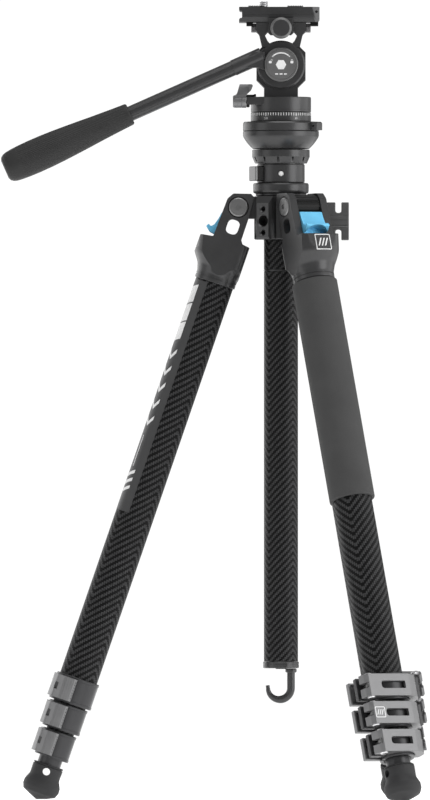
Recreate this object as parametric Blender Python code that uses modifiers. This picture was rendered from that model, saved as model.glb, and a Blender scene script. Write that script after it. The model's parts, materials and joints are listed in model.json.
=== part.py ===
"""Tripod with fluid head: a carbon travel tripod with four-section legs, a sliding column and a pan-and-tilt head.

X runs across the front view, -Y is the front, Z is up from the floor, and lengths are in metres.
"""

import math

import bmesh
import bpy
from mathutils import Matrix, Vector

OBJECT_NAME = "tripod_with_fluid_head"

# Places
COLUMN_X = 0.0486  # the column's axis, from the middle of the object's box
COLUMN_Y = 0.001
GAP = 0.0003  # clearance between pieces that touch
LEG_AZIMUTHS = {"left": 180, "front": -60, "rear": 60}  # degrees about the column
LEG_LEAN = math.radians(19)
HINGE_RADIUS = 0.0315
HINGE_Z = 0.4377

# Legs: "down" is measured along the leg from its hinge, "out" square to it, away from the column
TUBE_OUT = -0.0016
TUBE_WALL = 0.0015
TUBE_RADII = (0.0143, 0.01245, 0.01055, 0.00865)
TUBE_TOPS = (0.033, 0.062, 0.066, 0.070)
COLLARS = ((0.3678, 0.3878, 0.0163), (0.3889, 0.4085, 0.0145), (0.4100, 0.4300, 0.0130))  # top, bottom, radius
COLLAR_SOCKET = 0.0083  # how far tube 1 enters its collar
LEVER_FACES = (0.0181, 0.0168, 0.0160)  # from the tube's axis to each lever's flat face
LEVER_HEIGHT = 0.017
PIN_IN = 0.0041  # from a lever's flat face in to its pin
PIN_SIDES = (-0.0215, -0.0207, -0.0176)  # sideways from the tube's axis to each lever's pin
PIN_RADIUS = 0.0014
BARREL_RADIUS = 0.0030
CLAMP_BOLT_RADIUS = 0.0017
EAR_REACH = 0.0065  # how far the clamping ears stand out past the pin
REAR_EAR = (-0.0086, -0.0045)
FOOT_TOP = 0.4355
FOOT_HOLE_DOWN = 0.441
FOOT_HOLE_RADIUS = 0.0029
GRIP_TOP = 0.0592
GRIP_BOTTOM = 0.229
GRIP_RADIUS = 0.0168
EAR_HALF_SPAN = 0.0157  # the bracket's half width
SLOT_HALF_WIDTH = 0.0100
SLOT_BOTTOM = 0.0275
SOCKET_BOTTOM = 0.0586
BOLT_RADIUS = 0.004
BOLT_CAP_RADIUS = 0.007

# Spider and column
SPIDER_BOTTOM = 0.414
SPIDER_TOP = 0.446
SPIDER_RADIUS = 0.0198
LUG_RADIUS = 0.0093
LUG_HALF_WIDTH = 0.0097
PILLAR_REACH = 0.0275
PILLAR_HALF_WIDTH = 0.00665
PORT_AZIMUTH = -120
PORT_Z = 0.4275
PORT_RADIUS = 0.00385
COLUMN_RADIUS = 0.0126
COLUMN_BORE = 0.0129
COLUMN_INNER = 0.0108
COLUMN_SEAM_Z = 0.391
COLUMN_BOTTOM = 0.1018
HOOK_RADIUS = 0.0029
HOOK_BEND = 0.0085
HOOK_CENTRE = (-0.0011, 0.0821)
KNOB_Z = 0.4275
KNOB_STAND = 0.0279  # where the column lock knob starts, from the column's axis

# Head
BALL_Z = 0.50485  # the centre of the levelling half ball
BALL_RADIUS = 0.0316
BOWL_RADIUS = 0.0281
PAN_RADIUS = 0.0223
TILT_Z = 0.543
FRAME_HALF_DEPTH = 0.0115
DISC_RADIUS = 0.0179
DISC_FACES = (0.0118, 0.0190)  # inner and outer face of each yoke disc, from the middle
BADGE_RADIUS = 0.0126
PAN_LOCK = (-0.0257, -0.0140, 0.5158)  # the pan lock lever's axis, where its hub ends
HANDLE_Y = -0.0246
HANDLE_DROP = math.radians(23.96)  # below the horizontal
HANDLE_OFFSET = 0.0119  # the handle's line passes this far above the tilt axis
ROD_RADIUS = 0.0056
GRIP_START = 0.1165  # along the handle
GRIP_LENGTH = 0.1015
PLATE_LOW = 0.5745
PLATE_HIGH = 0.5858
PAD_HIGH = 0.5868
SCREW_X = -0.0127

SIDES = 16
SMALL_SIDES = 12


def clear_scene():
    for obj in list(bpy.data.objects):
        bpy.data.objects.remove(obj, do_unlink=True)


def new_collection(name, hidden=False):
    made = bpy.data.collections.new(name)
    made.hide_render = hidden
    bpy.context.scene.collection.children.link(made)
    return made


clear_scene()
PARTS = new_collection(OBJECT_NAME)
HELPERS = new_collection("helpers", hidden=True)


def new_material(name, colour, roughness, metallic):
    made = bpy.data.materials.new(name)
    made.use_nodes = True
    shader = made.node_tree.nodes["Principled BSDF"]
    shader.inputs["Base Color"].default_value = (*colour, 1)
    shader.inputs["Roughness"].default_value = roughness
    shader.inputs["Metallic"].default_value = metallic
    return made


CARBON = new_material("carbon tube", (0.012, 0.012, 0.012), 0.35, 0.0)
CASTING = new_material("dark anodised casting", (0.045, 0.045, 0.045), 0.4, 0.7)
COLLAR = new_material("grey anodised collar", (0.09, 0.09, 0.09), 0.4, 0.7)
LEVER = new_material("light grey lever", (0.25, 0.25, 0.25), 0.4, 0.6)
BLUE = new_material("blue release tab", (0.1, 0.45, 0.8), 0.4, 0.3)
CAP = new_material("silver grey cap", (0.2, 0.2, 0.2), 0.35, 0.8)
RUBBER = new_material("dark rubber", (0.03, 0.03, 0.03), 0.8, 0.0)
FOAM = new_material("dark grey foam", (0.06, 0.06, 0.06), 0.85, 0.0)
STEEL = new_material("bright steel", (0.6, 0.6, 0.6), 0.25, 1.0)


# Shapes. Each is made as a hidden helper, in its parent's coordinates, and finish() turns the result into a part.


def new_helper(name, mesh):
    obj = bpy.data.objects.new(f"{name}_shape", mesh)
    obj.hide_render = True
    obj.display_type = "WIRE"
    HELPERS.objects.link(obj)
    return obj


def mesh_from(name, build):
    bm = bmesh.new()
    build(bm)
    mesh = bpy.data.meshes.new(name)
    bm.to_mesh(mesh)
    bm.free()
    return mesh


def block(name, low, high, turn=0.0):
    """A box between two corners, then turned about the vertical through the origin, in radians."""
    low, high = Vector(low), Vector(high)
    middle = Matrix.Translation((low + high) / 2)
    size = Matrix.Diagonal((*(high - low), 1))
    placed = Matrix.Rotation(turn, 4, "Z") @ middle @ size
    return new_helper(name, mesh_from(name, lambda bm: bmesh.ops.create_cube(bm, size=1, matrix=placed)))


def rod(name, radius, start, end, sides=SIDES, end_radius=None):
    """A cylinder or cone between two points."""
    start, end = Vector(start), Vector(end)
    turn = (end - start).to_track_quat("Z", "Y").to_matrix().to_4x4()
    placed = Matrix.Translation((start + end) / 2) @ turn
    far = radius if end_radius is None else end_radius

    def build(bm):
        bmesh.ops.create_cone(
            bm,
            cap_ends=True,
            segments=sides,
            radius1=radius,
            radius2=far,
            depth=(end - start).length,
            matrix=placed,
        )

    return new_helper(name, mesh_from(name, build))


def turned(name, profile, hollow=False, sides=SIDES, place=None):
    """A profile of (radius, height) points, top to bottom down its outer side, turned about the Z axis."""
    last = len(profile) - 1
    edges = [(i, i + 1) for i in range(last)]
    if hollow:
        edges.append((last, 0))
    mesh = bpy.data.meshes.new(name)
    mesh.from_pydata([(r, 0, z) for r, z in profile], edges, [])
    obj = new_helper(name, mesh)
    screw = obj.modifiers.new("turn", "SCREW")
    screw.axis = "Z"
    screw.steps = sides
    screw.render_steps = sides
    screw.use_merge_vertices = True
    screw.merge_threshold = 1e-5
    if place is not None:
        obj.matrix_world = place
    return obj


def tube(name, outer, inner, top, bottom, sides=SIDES):
    return turned(name, [(outer, top), (outer, bottom), (inner, bottom), (inner, top)], True, sides)


def plate(name, outline, low, high, upright=False):
    """A flat outline, extruded in Z between two heights, or for an upright one, drawn in XZ and extruded in Y."""
    curve = bpy.data.curves.new(name, "CURVE")
    curve.dimensions = "2D"
    curve.fill_mode = "BOTH"
    curve.extrude = (high - low) / 2
    spline = curve.splines.new("POLY")
    spline.points.add(len(outline) - 1)
    for point, (a, b) in zip(spline.points, outline):
        point.co = (a, b, 0, 1)
    spline.use_cyclic_u = True
    middle = (low + high) / 2
    if upright:
        placed = Matrix.Translation((0, middle, 0)) @ Matrix.Rotation(math.pi / 2, 4, "X")
    else:
        placed = Matrix.Translation((0, 0, middle))
    return curve_to_helper(name, curve, placed)


def curve_to_helper(name, curve, placed=Matrix()):
    """Turns a curve into a closed mesh helper, with its caps welded to its sides."""
    obj = new_helper(name, curve)
    bpy.context.view_layer.update()
    mesh = bpy.data.meshes.new_from_object(obj.evaluated_get(bpy.context.evaluated_depsgraph_get()))
    bpy.data.objects.remove(obj)
    bm = bmesh.new()
    bm.from_mesh(mesh)
    bmesh.ops.remove_doubles(bm, verts=bm.verts, dist=1e-6)
    bmesh.ops.recalc_face_normals(bm, faces=bm.faces)
    bm.to_mesh(mesh)
    bm.free()
    mesh.transform(placed)
    return new_helper(name, mesh)


def arc(centre, radius, start, end, steps):
    """Points on an arc, from one angle to another, in radians."""
    turns = [start + (end - start) * i / steps for i in range(steps + 1)]
    return [(centre[0] + radius * math.cos(a), centre[1] + radius * math.sin(a)) for a in turns]


def rounded_box(centre, width, height, radius, steps=3):
    """The outline of a rectangle with round corners."""
    points = []
    for quarter, (sx, sy) in enumerate(((1, 1), (-1, 1), (-1, -1), (1, -1))):
        corner = (centre[0] + sx * (width / 2 - radius), centre[1] + sy * (height / 2 - radius))
        points += arc(corner, radius, quarter * math.pi / 2, (quarter + 1) * math.pi / 2, steps)
    return points


def boolean(target, operation, tools):
    for tool in tools:
        modifier = target.modifiers.new(tool.name, "BOOLEAN")
        modifier.operation = operation
        modifier.solver = "EXACT"
        modifier.object = tool
    return target


def cut(target, *tools):
    return boolean(target, "DIFFERENCE", tools)


def join(target, *tools):
    return boolean(target, "UNION", tools)


def keep_within(target, *tools):
    return boolean(target, "INTERSECT", tools)


def finished_mesh(name, shape, material, origin=(0, 0, 0)):
    """The shape's mesh with its modifiers applied, about the given origin."""
    bpy.context.view_layer.update()
    mesh = bpy.data.meshes.new_from_object(shape.evaluated_get(bpy.context.evaluated_depsgraph_get()))
    mesh.name = name
    mesh.transform(Matrix.Translation(-Vector(origin)) @ shape.matrix_world)
    mesh.materials.clear()
    mesh.materials.append(material)
    mesh.shade_smooth()
    mesh.set_sharp_from_angle(angle=math.radians(30))
    return mesh


def place(name, mesh, parent, origin=(0, 0, 0)):
    obj = bpy.data.objects.new(name, mesh)
    obj.parent = parent
    obj.location = origin
    PARTS.objects.link(obj)
    return obj


def finish(name, shape, parent, material, origin=(0, 0, 0)):
    return place(name, finished_mesh(name, shape, material, origin), parent, origin)


def new_empty(name, parent=None, location=(0, 0, 0), rotation=None):
    obj = bpy.data.objects.new(name, None)
    obj.empty_display_size = 0.02
    obj.parent = parent
    obj.location = location
    if rotation is not None:
        obj.rotation_euler = rotation.to_euler()
    PARTS.objects.link(obj)
    return obj


# Legs. A leg's frame has its origin at the hinge, +X out, and -Z down the leg.


def on_tube_axis():
    return Matrix.Translation((TUBE_OUT, 0, 0))


def pin_point(index):
    return (TUBE_OUT + LEVER_FACES[index] - PIN_IN, PIN_SIDES[index])


def leg_bracket():
    """Two ears on the hinge bolt, over a socket for the leg's first tube."""
    side = [
        (0.0095, 0.0030),
        (0.0072, 0.0080),
        (-0.0057, 0.0124),
        (-0.0087, 0.0108),
        (-0.0098, -0.0053),
        (-0.0099, -0.0226),
        (-0.0120, -0.0250),
        (-0.0176, -0.0258),
        (-0.0176, -0.0600),
        (0.0190, -0.0600),
        (0.0203, -0.0430),
        (0.0201, -0.0273),
        (0.0103, -0.0263),
    ]
    bracket = plate("bracket_side", side, -EAR_HALF_SPAN, EAR_HALF_SPAN, upright=True)
    round_body = [(0, 0.030), (0.034, 0.030), (0.0250, -0.0270), (0.0222, -0.0430)]
    round_body += [(0.0172, -0.0500), (0.0154, -SOCKET_BOTTOM), (0, -SOCKET_BOTTOM)]
    keep_within(bracket, turned("bracket_round", round_body, sides=20, place=on_tube_axis()))
    slot = block(
        "bracket_slot", (-0.04, -SLOT_HALF_WIDTH, -SLOT_BOTTOM), (0.04, SLOT_HALF_WIDTH, 0.02)
    )
    socket_top = TUBE_TOPS[0] - GAP
    bore_radius = TUBE_RADII[0] + GAP
    bore_profile = [(0, -socket_top), (bore_radius, -socket_top), (bore_radius, -0.07), (0, -0.07)]
    bore = turned("bracket_bore", bore_profile, place=on_tube_axis())
    hinge = rod("bracket_hinge", BOLT_RADIUS + GAP, (0, -0.03, 0), (0, 0.03, 0), SMALL_SIDES)
    window = plate(
        "bracket_window", rounded_box((-0.0008, -0.015), 0.0096, 0.0118, 0.0036), -0.03, 0.03, upright=True
    )
    return cut(bracket, slot, bore, hinge, window)


def hinge_bolt():
    """The hinge's through bolt, with a flat cap at each end."""
    cap_in = EAR_HALF_SPAN + GAP
    cap_out = cap_in + 0.001
    profile = [(0, cap_out), (BOLT_CAP_RADIUS, cap_out), (BOLT_CAP_RADIUS, cap_in), (BOLT_RADIUS, cap_in)]
    profile += [(r, -z) for r, z in reversed(profile)]
    return turned("hinge_bolt", profile, sides=SMALL_SIDES + 2, place=Matrix.Rotation(math.pi / 2, 4, "X"))


TAB_HINGE = (0.0068, -0.0226)  # out, and up from the leg's hinge


def angle_tab():
    """The tab that frees the leg's spread, with a finger lip at its foot."""
    outline = [
        (0.0090, -0.0076),
        (0.0104, -0.0079),
        (0.0111, -0.0120),
        (0.0126, -0.0172),
        (0.0148, -0.0195),
        (0.0166, -0.0186),
        (0.0180, -0.0208),
        (0.0140, -0.0238),
        (0.0098, -0.0246),
        (0.0050, -0.0240),
        (0.0056, -0.0125),
    ]
    return plate("angle_tab", outline, -0.0096, 0.0096, upright=True)


def join_clamp(body, index):
    """A collar's two clamping ears, the bolt through them, and the barrel and pin that the lever turns on."""
    top, bottom, radius = COLLARS[index]
    middle = -(top + bottom) / 2
    low, high = middle - LEVER_HEIGHT / 2, middle + LEVER_HEIGHT / 2
    x, y = pin_point(index)
    face = LEVER_FACES[index]
    for ear_low, ear_high in (REAR_EAR, (face - 0.0159, face - 0.0117)):
        first = (TUBE_OUT + ear_low, y - EAR_REACH, low)
        last = (TUBE_OUT + ear_high, 0.0035 - radius, high)
        join(body, block("clamp_ear", first, last))
    bolt_head = TUBE_OUT + REAR_EAR[0] - 0.0018
    join(body, rod("clamp_bolt", CLAMP_BOLT_RADIUS, (bolt_head, y, middle), (x, y, middle), 8))
    join(body, rod("clamp_barrel", BARREL_RADIUS, (x, y, middle - 0.0034), (x, y, middle + 0.0034), 10))
    return join(body, rod("lever_pin", PIN_RADIUS, (x, y, low), (x, y, high), 8))


def first_collar():
    top, bottom, radius = COLLARS[0]
    body = turned("collar_1", [(0, -top), (radius, -top), (radius, -bottom), (0, -bottom)], place=on_tube_axis())
    join_clamp(body, 0)
    step = -top - COLLAR_SOCKET
    wide = TUBE_RADII[0] + GAP
    narrow = TUBE_RADII[1] + GAP
    bore = [(0, 0.001 - top), (wide, 0.001 - top), (wide, step), (narrow, step)]
    bore += [(narrow, -bottom - 0.001), (0, -bottom - 0.001)]
    return cut(body, turned("collar_bore", bore, place=on_tube_axis()))


def section(number):
    """A middle leg section: its tube, with the collar that is bonded to the tube's lower end."""
    radius = TUBE_RADII[number - 1]
    inner = radius - TUBE_WALL
    start = -TUBE_TOPS[number - 1]
    top, bottom, wide = COLLARS[number - 1]
    profile = [(0, start), (radius, start), (radius, -top), (wide, -top), (wide, -bottom), (0, -bottom)]
    body = turned(f"section_{number}", profile, place=on_tube_axis())
    join_clamp(body, number - 1)
    bore = [(0, start + 0.001), (inner, start + 0.001), (inner, -bottom - 0.001), (0, -bottom - 0.001)]
    return cut(body, turned("section_bore", bore, place=on_tube_axis()))


def flip_lever(index):
    """A lever with a flat face over the collar, a curved free end, and a forked knuckle round its pin."""
    collar = COLLARS[index]
    face = LEVER_FACES[index]
    middle = -(collar[0] + collar[1]) / 2
    low, high = middle - LEVER_HEIGHT / 2, middle + LEVER_HEIGHT / 2
    inner = collar[2] + 0.0005
    pin_x, pin_y = pin_point(index)
    size = face / LEVER_FACES[0]
    free_end = [(0.0181, 0.0056), (0.0177, 0.0110), (0.0150, 0.0172), (0.0090, 0.0210), (0.0030, 0.0208), (0, 0.0195)]
    outline = [(TUBE_OUT + x * size, y * size) for x, y in free_end]
    meet = -math.acos((face - 0.0082) / inner)
    outline += arc((TUBE_OUT, 0), inner, math.pi / 2, meet, 9)
    outline += [
        (TUBE_OUT + face - 0.0082, pin_y - 0.0040),
        (TUBE_OUT + face - 0.0079, pin_y - 0.0060),
        (TUBE_OUT + face - 0.0026, pin_y - 0.0039),
        (TUBE_OUT + face, pin_y - 0.0010),
    ]
    lever = plate("lever", outline, low, high)
    fork = block("fork", (0, -0.05, middle - 0.0038), (0.04, pin_y + 0.0040, middle + 0.0038))
    hole = rod("pin_hole", PIN_RADIUS + 0.0004, (pin_x, pin_y, low - 0.001), (pin_x, pin_y, high + 0.001), 8)
    window = block("lever_window", (0.008, -0.0100, middle - 0.0026), (0.03, 0.0060, middle + 0.0026))
    return cut(lever, fork, hole, window)


def foot():
    """A rubber foot: a neck, a bulge, and a blunt cone that is flat where it meets the floor."""
    profile = [
        (0.0114, -FOOT_TOP),
        (0.0112, -0.4445),
        (0.0122, -0.4485),
        (0.0137, -0.4515),
        (0.0138, -0.4545),
        (0.0124, -0.4572),
        (0, -0.4629),
        (0, -0.4379),
        (TUBE_RADII[3] + GAP, -0.4379),
        (TUBE_RADII[3] + GAP, -FOOT_TOP),
    ]
    body = turned("foot", profile, hollow=True, place=on_tube_axis())
    hole = rod(
        "foot_hole",
        FOOT_HOLE_RADIUS,
        (TUBE_OUT, -0.03, -FOOT_HOLE_DOWN),
        (TUBE_OUT, 0.03, -FOOT_HOLE_DOWN),
        12,
    )
    floor = block("floor", (-0.4, -0.2, -HINGE_Z - 0.05), (0.4, 0.2, -HINGE_Z))
    floor.rotation_euler = (0, LEG_LEAN, 0)
    return cut(body, hole, floor)


def last_tube():
    radius = TUBE_RADII[3]
    body = tube("tube_4", radius, radius - TUBE_WALL, -TUBE_TOPS[3], -0.4376)
    body.matrix_world = on_tube_axis()
    return body


def first_tube():
    radius = TUBE_RADII[0]
    bottom = COLLARS[0][0] + COLLAR_SOCKET - GAP
    body = tube("tube_1", radius, radius - TUBE_WALL, -TUBE_TOPS[0], -bottom)
    body.matrix_world = on_tube_axis()
    return body


def build_legs(root):
    pieces = {
        "bracket": (leg_bracket(), CASTING, (0, 0, 0)),
        "hinge_bolt": (hinge_bolt(), CAP, (0, 0, 0)),
        "angle_tab": (angle_tab(), BLUE, (TAB_HINGE[0], 0, TAB_HINGE[1])),
        "tube_1": (first_tube(), CARBON, (TUBE_OUT, 0, 0)),
        "collar_1": (first_collar(), COLLAR, (TUBE_OUT, 0, 0)),
        "section_2": (section(2), COLLAR, (TUBE_OUT, 0, 0)),
        "section_3": (section(3), COLLAR, (TUBE_OUT, 0, 0)),
        "tube_4": (last_tube(), CARBON, (TUBE_OUT, 0, 0)),
        "foot": (foot(), RUBBER, (TUBE_OUT, 0, 0)),
    }
    for index, collar in enumerate(COLLARS):
        middle = -(collar[0] + collar[1]) / 2
        pieces[f"lever_{index + 1}"] = (flip_lever(index), LEVER, (*pin_point(index), middle))
    meshes = {
        name: finished_mesh(f"leg_{name}", shape, material, origin)
        for name, (shape, material, origin) in pieces.items()
    }
    grip = tube("foam_grip", GRIP_RADIUS, TUBE_RADII[0] + GAP, -GRIP_TOP, -GRIP_BOTTOM)
    grip.matrix_world = on_tube_axis()
    for leg, azimuth in LEG_AZIMUTHS.items():
        turn = Matrix.Rotation(math.radians(azimuth), 4, "Z")
        hinge = turn @ Vector((HINGE_RADIUS, 0, HINGE_Z))
        frame = new_empty(f"{leg}_leg_hinge", root, hinge, turn @ Matrix.Rotation(-LEG_LEAN, 4, "Y"))
        for name, mesh in meshes.items():
            place(f"{leg}_leg_{name}", mesh, frame, pieces[name][2])
        if leg == "front":
            finish("foam_grip", grip, frame, FOAM, (TUBE_OUT, 0, 0))


# Spider and column


def spider():
    """The hub: a bored body with three hinge lugs, and three pillars between them."""
    body = rod("spider_body", SPIDER_RADIUS, (0, 0, SPIDER_BOTTOM), (0, 0, SPIDER_TOP), 30)
    for azimuth in LEG_AZIMUTHS.values():
        turn = math.radians(azimuth)
        web = block(
            "lug_web",
            (0.014, -LUG_HALF_WIDTH + 0.0003, HINGE_Z - LUG_RADIUS + 0.0006),
            (HINGE_RADIUS, LUG_HALF_WIDTH - 0.0003, SPIDER_TOP - 0.0003),
            turn,
        )
        side = Matrix.Rotation(turn, 4, "Z")
        ends = [side @ Vector((HINGE_RADIUS, y, HINGE_Z)) for y in (-LUG_HALF_WIDTH, LUG_HALF_WIDTH)]
        join(body, web, rod("lug_drum", LUG_RADIUS, *ends, SIDES))
    for azimuth in (0, 120, PORT_AZIMUTH):
        low = (0.0135, -PILLAR_HALF_WIDTH, SPIDER_BOTTOM + 0.0001)
        high = (PILLAR_REACH, PILLAR_HALF_WIDTH, SPIDER_TOP - 0.0001)
        join(body, block("pillar", low, high, math.radians(azimuth)))
    cut(body, rod("column_bore", COLUMN_BORE, (0, 0, 0.40), (0, 0, 0.46), 30))
    for azimuth in LEG_AZIMUTHS.values():
        side = Matrix.Rotation(math.radians(azimuth), 4, "Z")
        ends = [side @ Vector((HINGE_RADIUS, y, HINGE_Z)) for y in (-0.02, 0.02)]
        cut(body, rod("bolt_bore", BOLT_RADIUS + GAP, *ends, SMALL_SIDES))
    port = Matrix.Rotation(math.radians(PORT_AZIMUTH), 4, "Z")
    for height, radius, depth in ((0, PORT_RADIUS, 0.009), (0.0085, 0.0017, 0.006), (-0.0085, 0.0017, 0.006)):
        ends = [port @ Vector((x, 0, PORT_Z + height)) for x in (PILLAR_REACH - depth, 0.035)]
        cut(body, rod("port_hole", radius, *ends, 12))
    return cut(body, rod("knob_bore", 0.0034, (0.0120, 0, KNOB_Z), (0.04, 0, KNOB_Z), 12))


def column_lock_knob():
    """A winged knob on a stud that presses on the column."""
    wing = [
        (0.0340, -0.0140),
        (0.0403, -0.0140),
        (0.0403, -0.0053),
        (0.0447, -0.0053),
        (0.0447, -0.0140),
        (0.0503, -0.0140),
        (0.0503, 0.0140),
        (0.0447, 0.0140),
        (0.0447, 0.0053),
        (0.0403, 0.0053),
        (0.0403, 0.0140),
        (0.0340, 0.0140),
    ]
    knob = plate("knob_wing", [(x, KNOB_Z + z) for x, z in wing], -0.0055, 0.0055, upright=True)
    join(knob, rod("knob_hub", 0.0062, (KNOB_STAND, 0, KNOB_Z), (0.036, 0, KNOB_Z), SIDES))
    return join(knob, rod("knob_stud", 0.0030, (0.0132, 0, KNOB_Z), (0.030, 0, KNOB_Z), 12))


def weight_hook():
    """A J hook under the column, tapering to its tip."""
    cx, cz = HOOK_CENTRE
    route = [(cx + HOOK_BEND, 0.0965), (cx + HOOK_BEND, 0.0890)]
    route += arc((cx, cz), HOOK_BEND, 0, -math.pi, 10)
    route += [(cx - HOOK_BEND - 0.0003, cz + 0.0021)]
    curve = bpy.data.curves.new("weight_hook", "CURVE")
    curve.dimensions = "3D"
    curve.bevel_depth = HOOK_RADIUS
    curve.bevel_resolution = 3
    curve.use_fill_caps = True
    spline = curve.splines.new("POLY")
    spline.points.add(len(route) - 1)
    for i, (point, (x, z)) in enumerate(zip(spline.points, route)):
        point.co = (x, 0, z, 1)
        point.radius = 1 if i < 7 else 1 - 0.6 * (i - 6) / (len(route) - 7)
    return curve_to_helper("weight_hook", curve)


def build_column(root):
    finish("spider", spider(), root, CASTING)
    collar = [(0.0185, SPIDER_TOP + GAP), (0.0185, 0.4481), (0.0204, 0.4486), (0.0206, 0.4556), (COLUMN_BORE, 0.4556)]
    collar += [(COLUMN_BORE, SPIDER_TOP + GAP)]
    finish("column_collar", turned("column_collar", collar[::-1], True, 24), root, CASTING)
    upper = tube("column_upper", COLUMN_RADIUS, COLUMN_INNER, 0.4660, COLUMN_SEAM_Z + GAP, 24)
    finish("column_upper", upper, root, CARBON)
    lower = tube("column_lower", COLUMN_RADIUS, COLUMN_INNER, COLUMN_SEAM_Z, COLUMN_BOTTOM, 24)
    finish("column_lower", lower, root, CARBON)
    spigot = COLUMN_INNER - GAP
    ring = [(0, 0.1100), (spigot, 0.1100), (spigot, 0.1015), (0.01325, 0.1015), (0.01325, 0.0968), (0, 0.0968)]
    finish("column_end_ring", turned("column_end_ring", ring, sides=24), root, CASTING)
    finish("weight_hook", weight_hook(), root, CASTING)
    finish("column_lock_knob", column_lock_knob(), root, CASTING, (KNOB_STAND, 0, KNOB_Z))
    neck_bore = COLUMN_RADIUS + GAP
    neck = [(0.0100, 0.4755), (0.0137, 0.4755), (0.0137, 0.4700), (0.0176, 0.4700), (0.0176, 0.4560)]
    neck += [(neck_bore, 0.4560), (neck_bore, 0.4663), (0.0100, 0.4663)]
    neck_body = turned("levelling_neck", neck, True, 24)
    pocket = block("button_pocket", (-0.03, -0.0063, 0.4568), (-0.0138, 0.0003, 0.4682))
    pocket.rotation_euler = (0, 0, math.radians(25))
    finish("levelling_neck", cut(neck_body, pocket), root, CASTING)
    button = block("release_button", (-0.0236, -0.0060, 0.4571), (-0.0162, 0.0, 0.4679))
    button.rotation_euler = (0, 0, math.radians(25))
    finish("neck_release_button", button, root, COLLAR)
    ring = [(0.0206, 0.4805), (0.0213, 0.4801), (0.0213, 0.4752), (0.0196, 0.4703), (0.0140, 0.4703)]
    ring += [(0.0140, 0.4760), (0.0178, 0.4782)]
    finish("levelling_ring", turned("levelling_ring", ring, True, 24), root, CASTING)


# Head


def levelling_bowl():
    """A half ball that tilts in the levelling ring's seat, with the stud that draws it down."""
    low = math.acos((BALL_Z - 0.4809) / BALL_RADIUS)
    high = math.asin(BOWL_RADIUS / BALL_RADIUS)
    curve = [(BALL_RADIUS * math.sin(a), BALL_Z - BALL_RADIUS * math.cos(a)) for a in
             (high + (low - high) * i / 4 for i in range(5))]
    profile = [(0, 0.4942), (BOWL_RADIUS, 0.4942)] + curve
    profile += [(0.004, 0.4809), (0.004, 0.4630), (0, 0.4630)]
    return turned("levelling_bowl", profile, sides=28)


def clamp_plate():
    body = rod("clamp_plate", BOWL_RADIUS, (0, 0, 0.4945), (0, 0, 0.5011), 28)
    return join(body, block("clamp_lobe", (0.020, -0.0045, 0.4946), (0.0331, 0.0045, 0.5010), math.radians(-30)))


def head_frame():
    """The turning part of the head: the pan drum, a neck, and an eight-sided block that carries the tilt axle."""
    side = [
        (-0.0126, 0.5150),
        (0.0126, 0.5150),
        (0.0126, 0.5262),
        (0.0182, 0.5318),
        (0.0182, 0.5522),
        (0.0134, 0.5570),
        (-0.0134, 0.5570),
        (-0.0182, 0.5522),
        (-0.0182, 0.5318),
        (-0.0126, 0.5262),
    ]
    body = plate("frame_side", side, -FRAME_HALF_DEPTH, FRAME_HALF_DEPTH, upright=True)
    join(body, rod("pan_drum", PAN_RADIUS, (0, 0, 0.5082), (0, 0, 0.5194), 28))
    join(body, rod("tilt_axle", 0.006, (0, -0.0185, TILT_Z), (0, 0.0185, TILT_Z), 16))
    join(body, block("lock_lug", (-0.0253, -0.0185, 0.5135), (-0.0120, -0.0095, 0.5193)))
    cut(body, rod("spindle_bore", 0.0084, (0, 0, 0.50), (0, 0, 0.5154), 16))
    cut(body, rod("knob_bore", 0.0028, (0, -0.03, TILT_Z), (0, -0.0080, TILT_Z), 12))
    _, y, z = PAN_LOCK
    return cut(body, rod("lock_bore", 0.0017, (-0.03, y, z), (-0.0190, y, z), 10))


def pan_lock_lever():
    """A hub on a cross stud, with a finger paddle that rises beside the head."""
    x, y, z = PAN_LOCK
    hub = rod("lock_hub", 0.0047, (x - 0.0099, y, z), PAN_LOCK, 16)
    paddle = [
        (-0.0335, 0.5160),
        (-0.0270, 0.5160),
        (-0.0262, 0.5212),
        (-0.0222, 0.5262),
        (-0.0208, 0.5286),
        (-0.0302, 0.5286),
        (-0.0315, 0.5230),
    ]
    join(hub, plate("lock_paddle", paddle, y - 0.0032, y + 0.0032, upright=True))
    return join(hub, rod("lock_stud", 0.0014, (x - 0.0040, y, z), (-0.0200, y, z), 10))


def handle_frame():
    """Where the handle's line passes nearest to the tilt axis, with +Z along the handle."""
    direction = Vector((-math.cos(HANDLE_DROP), 0, -math.sin(HANDLE_DROP)))
    above = Vector((-math.sin(HANDLE_DROP), 0, math.cos(HANDLE_DROP)))
    start = Vector((0, HANDLE_Y, TILT_Z)) + above * HANDLE_OFFSET
    return start, direction


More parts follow.
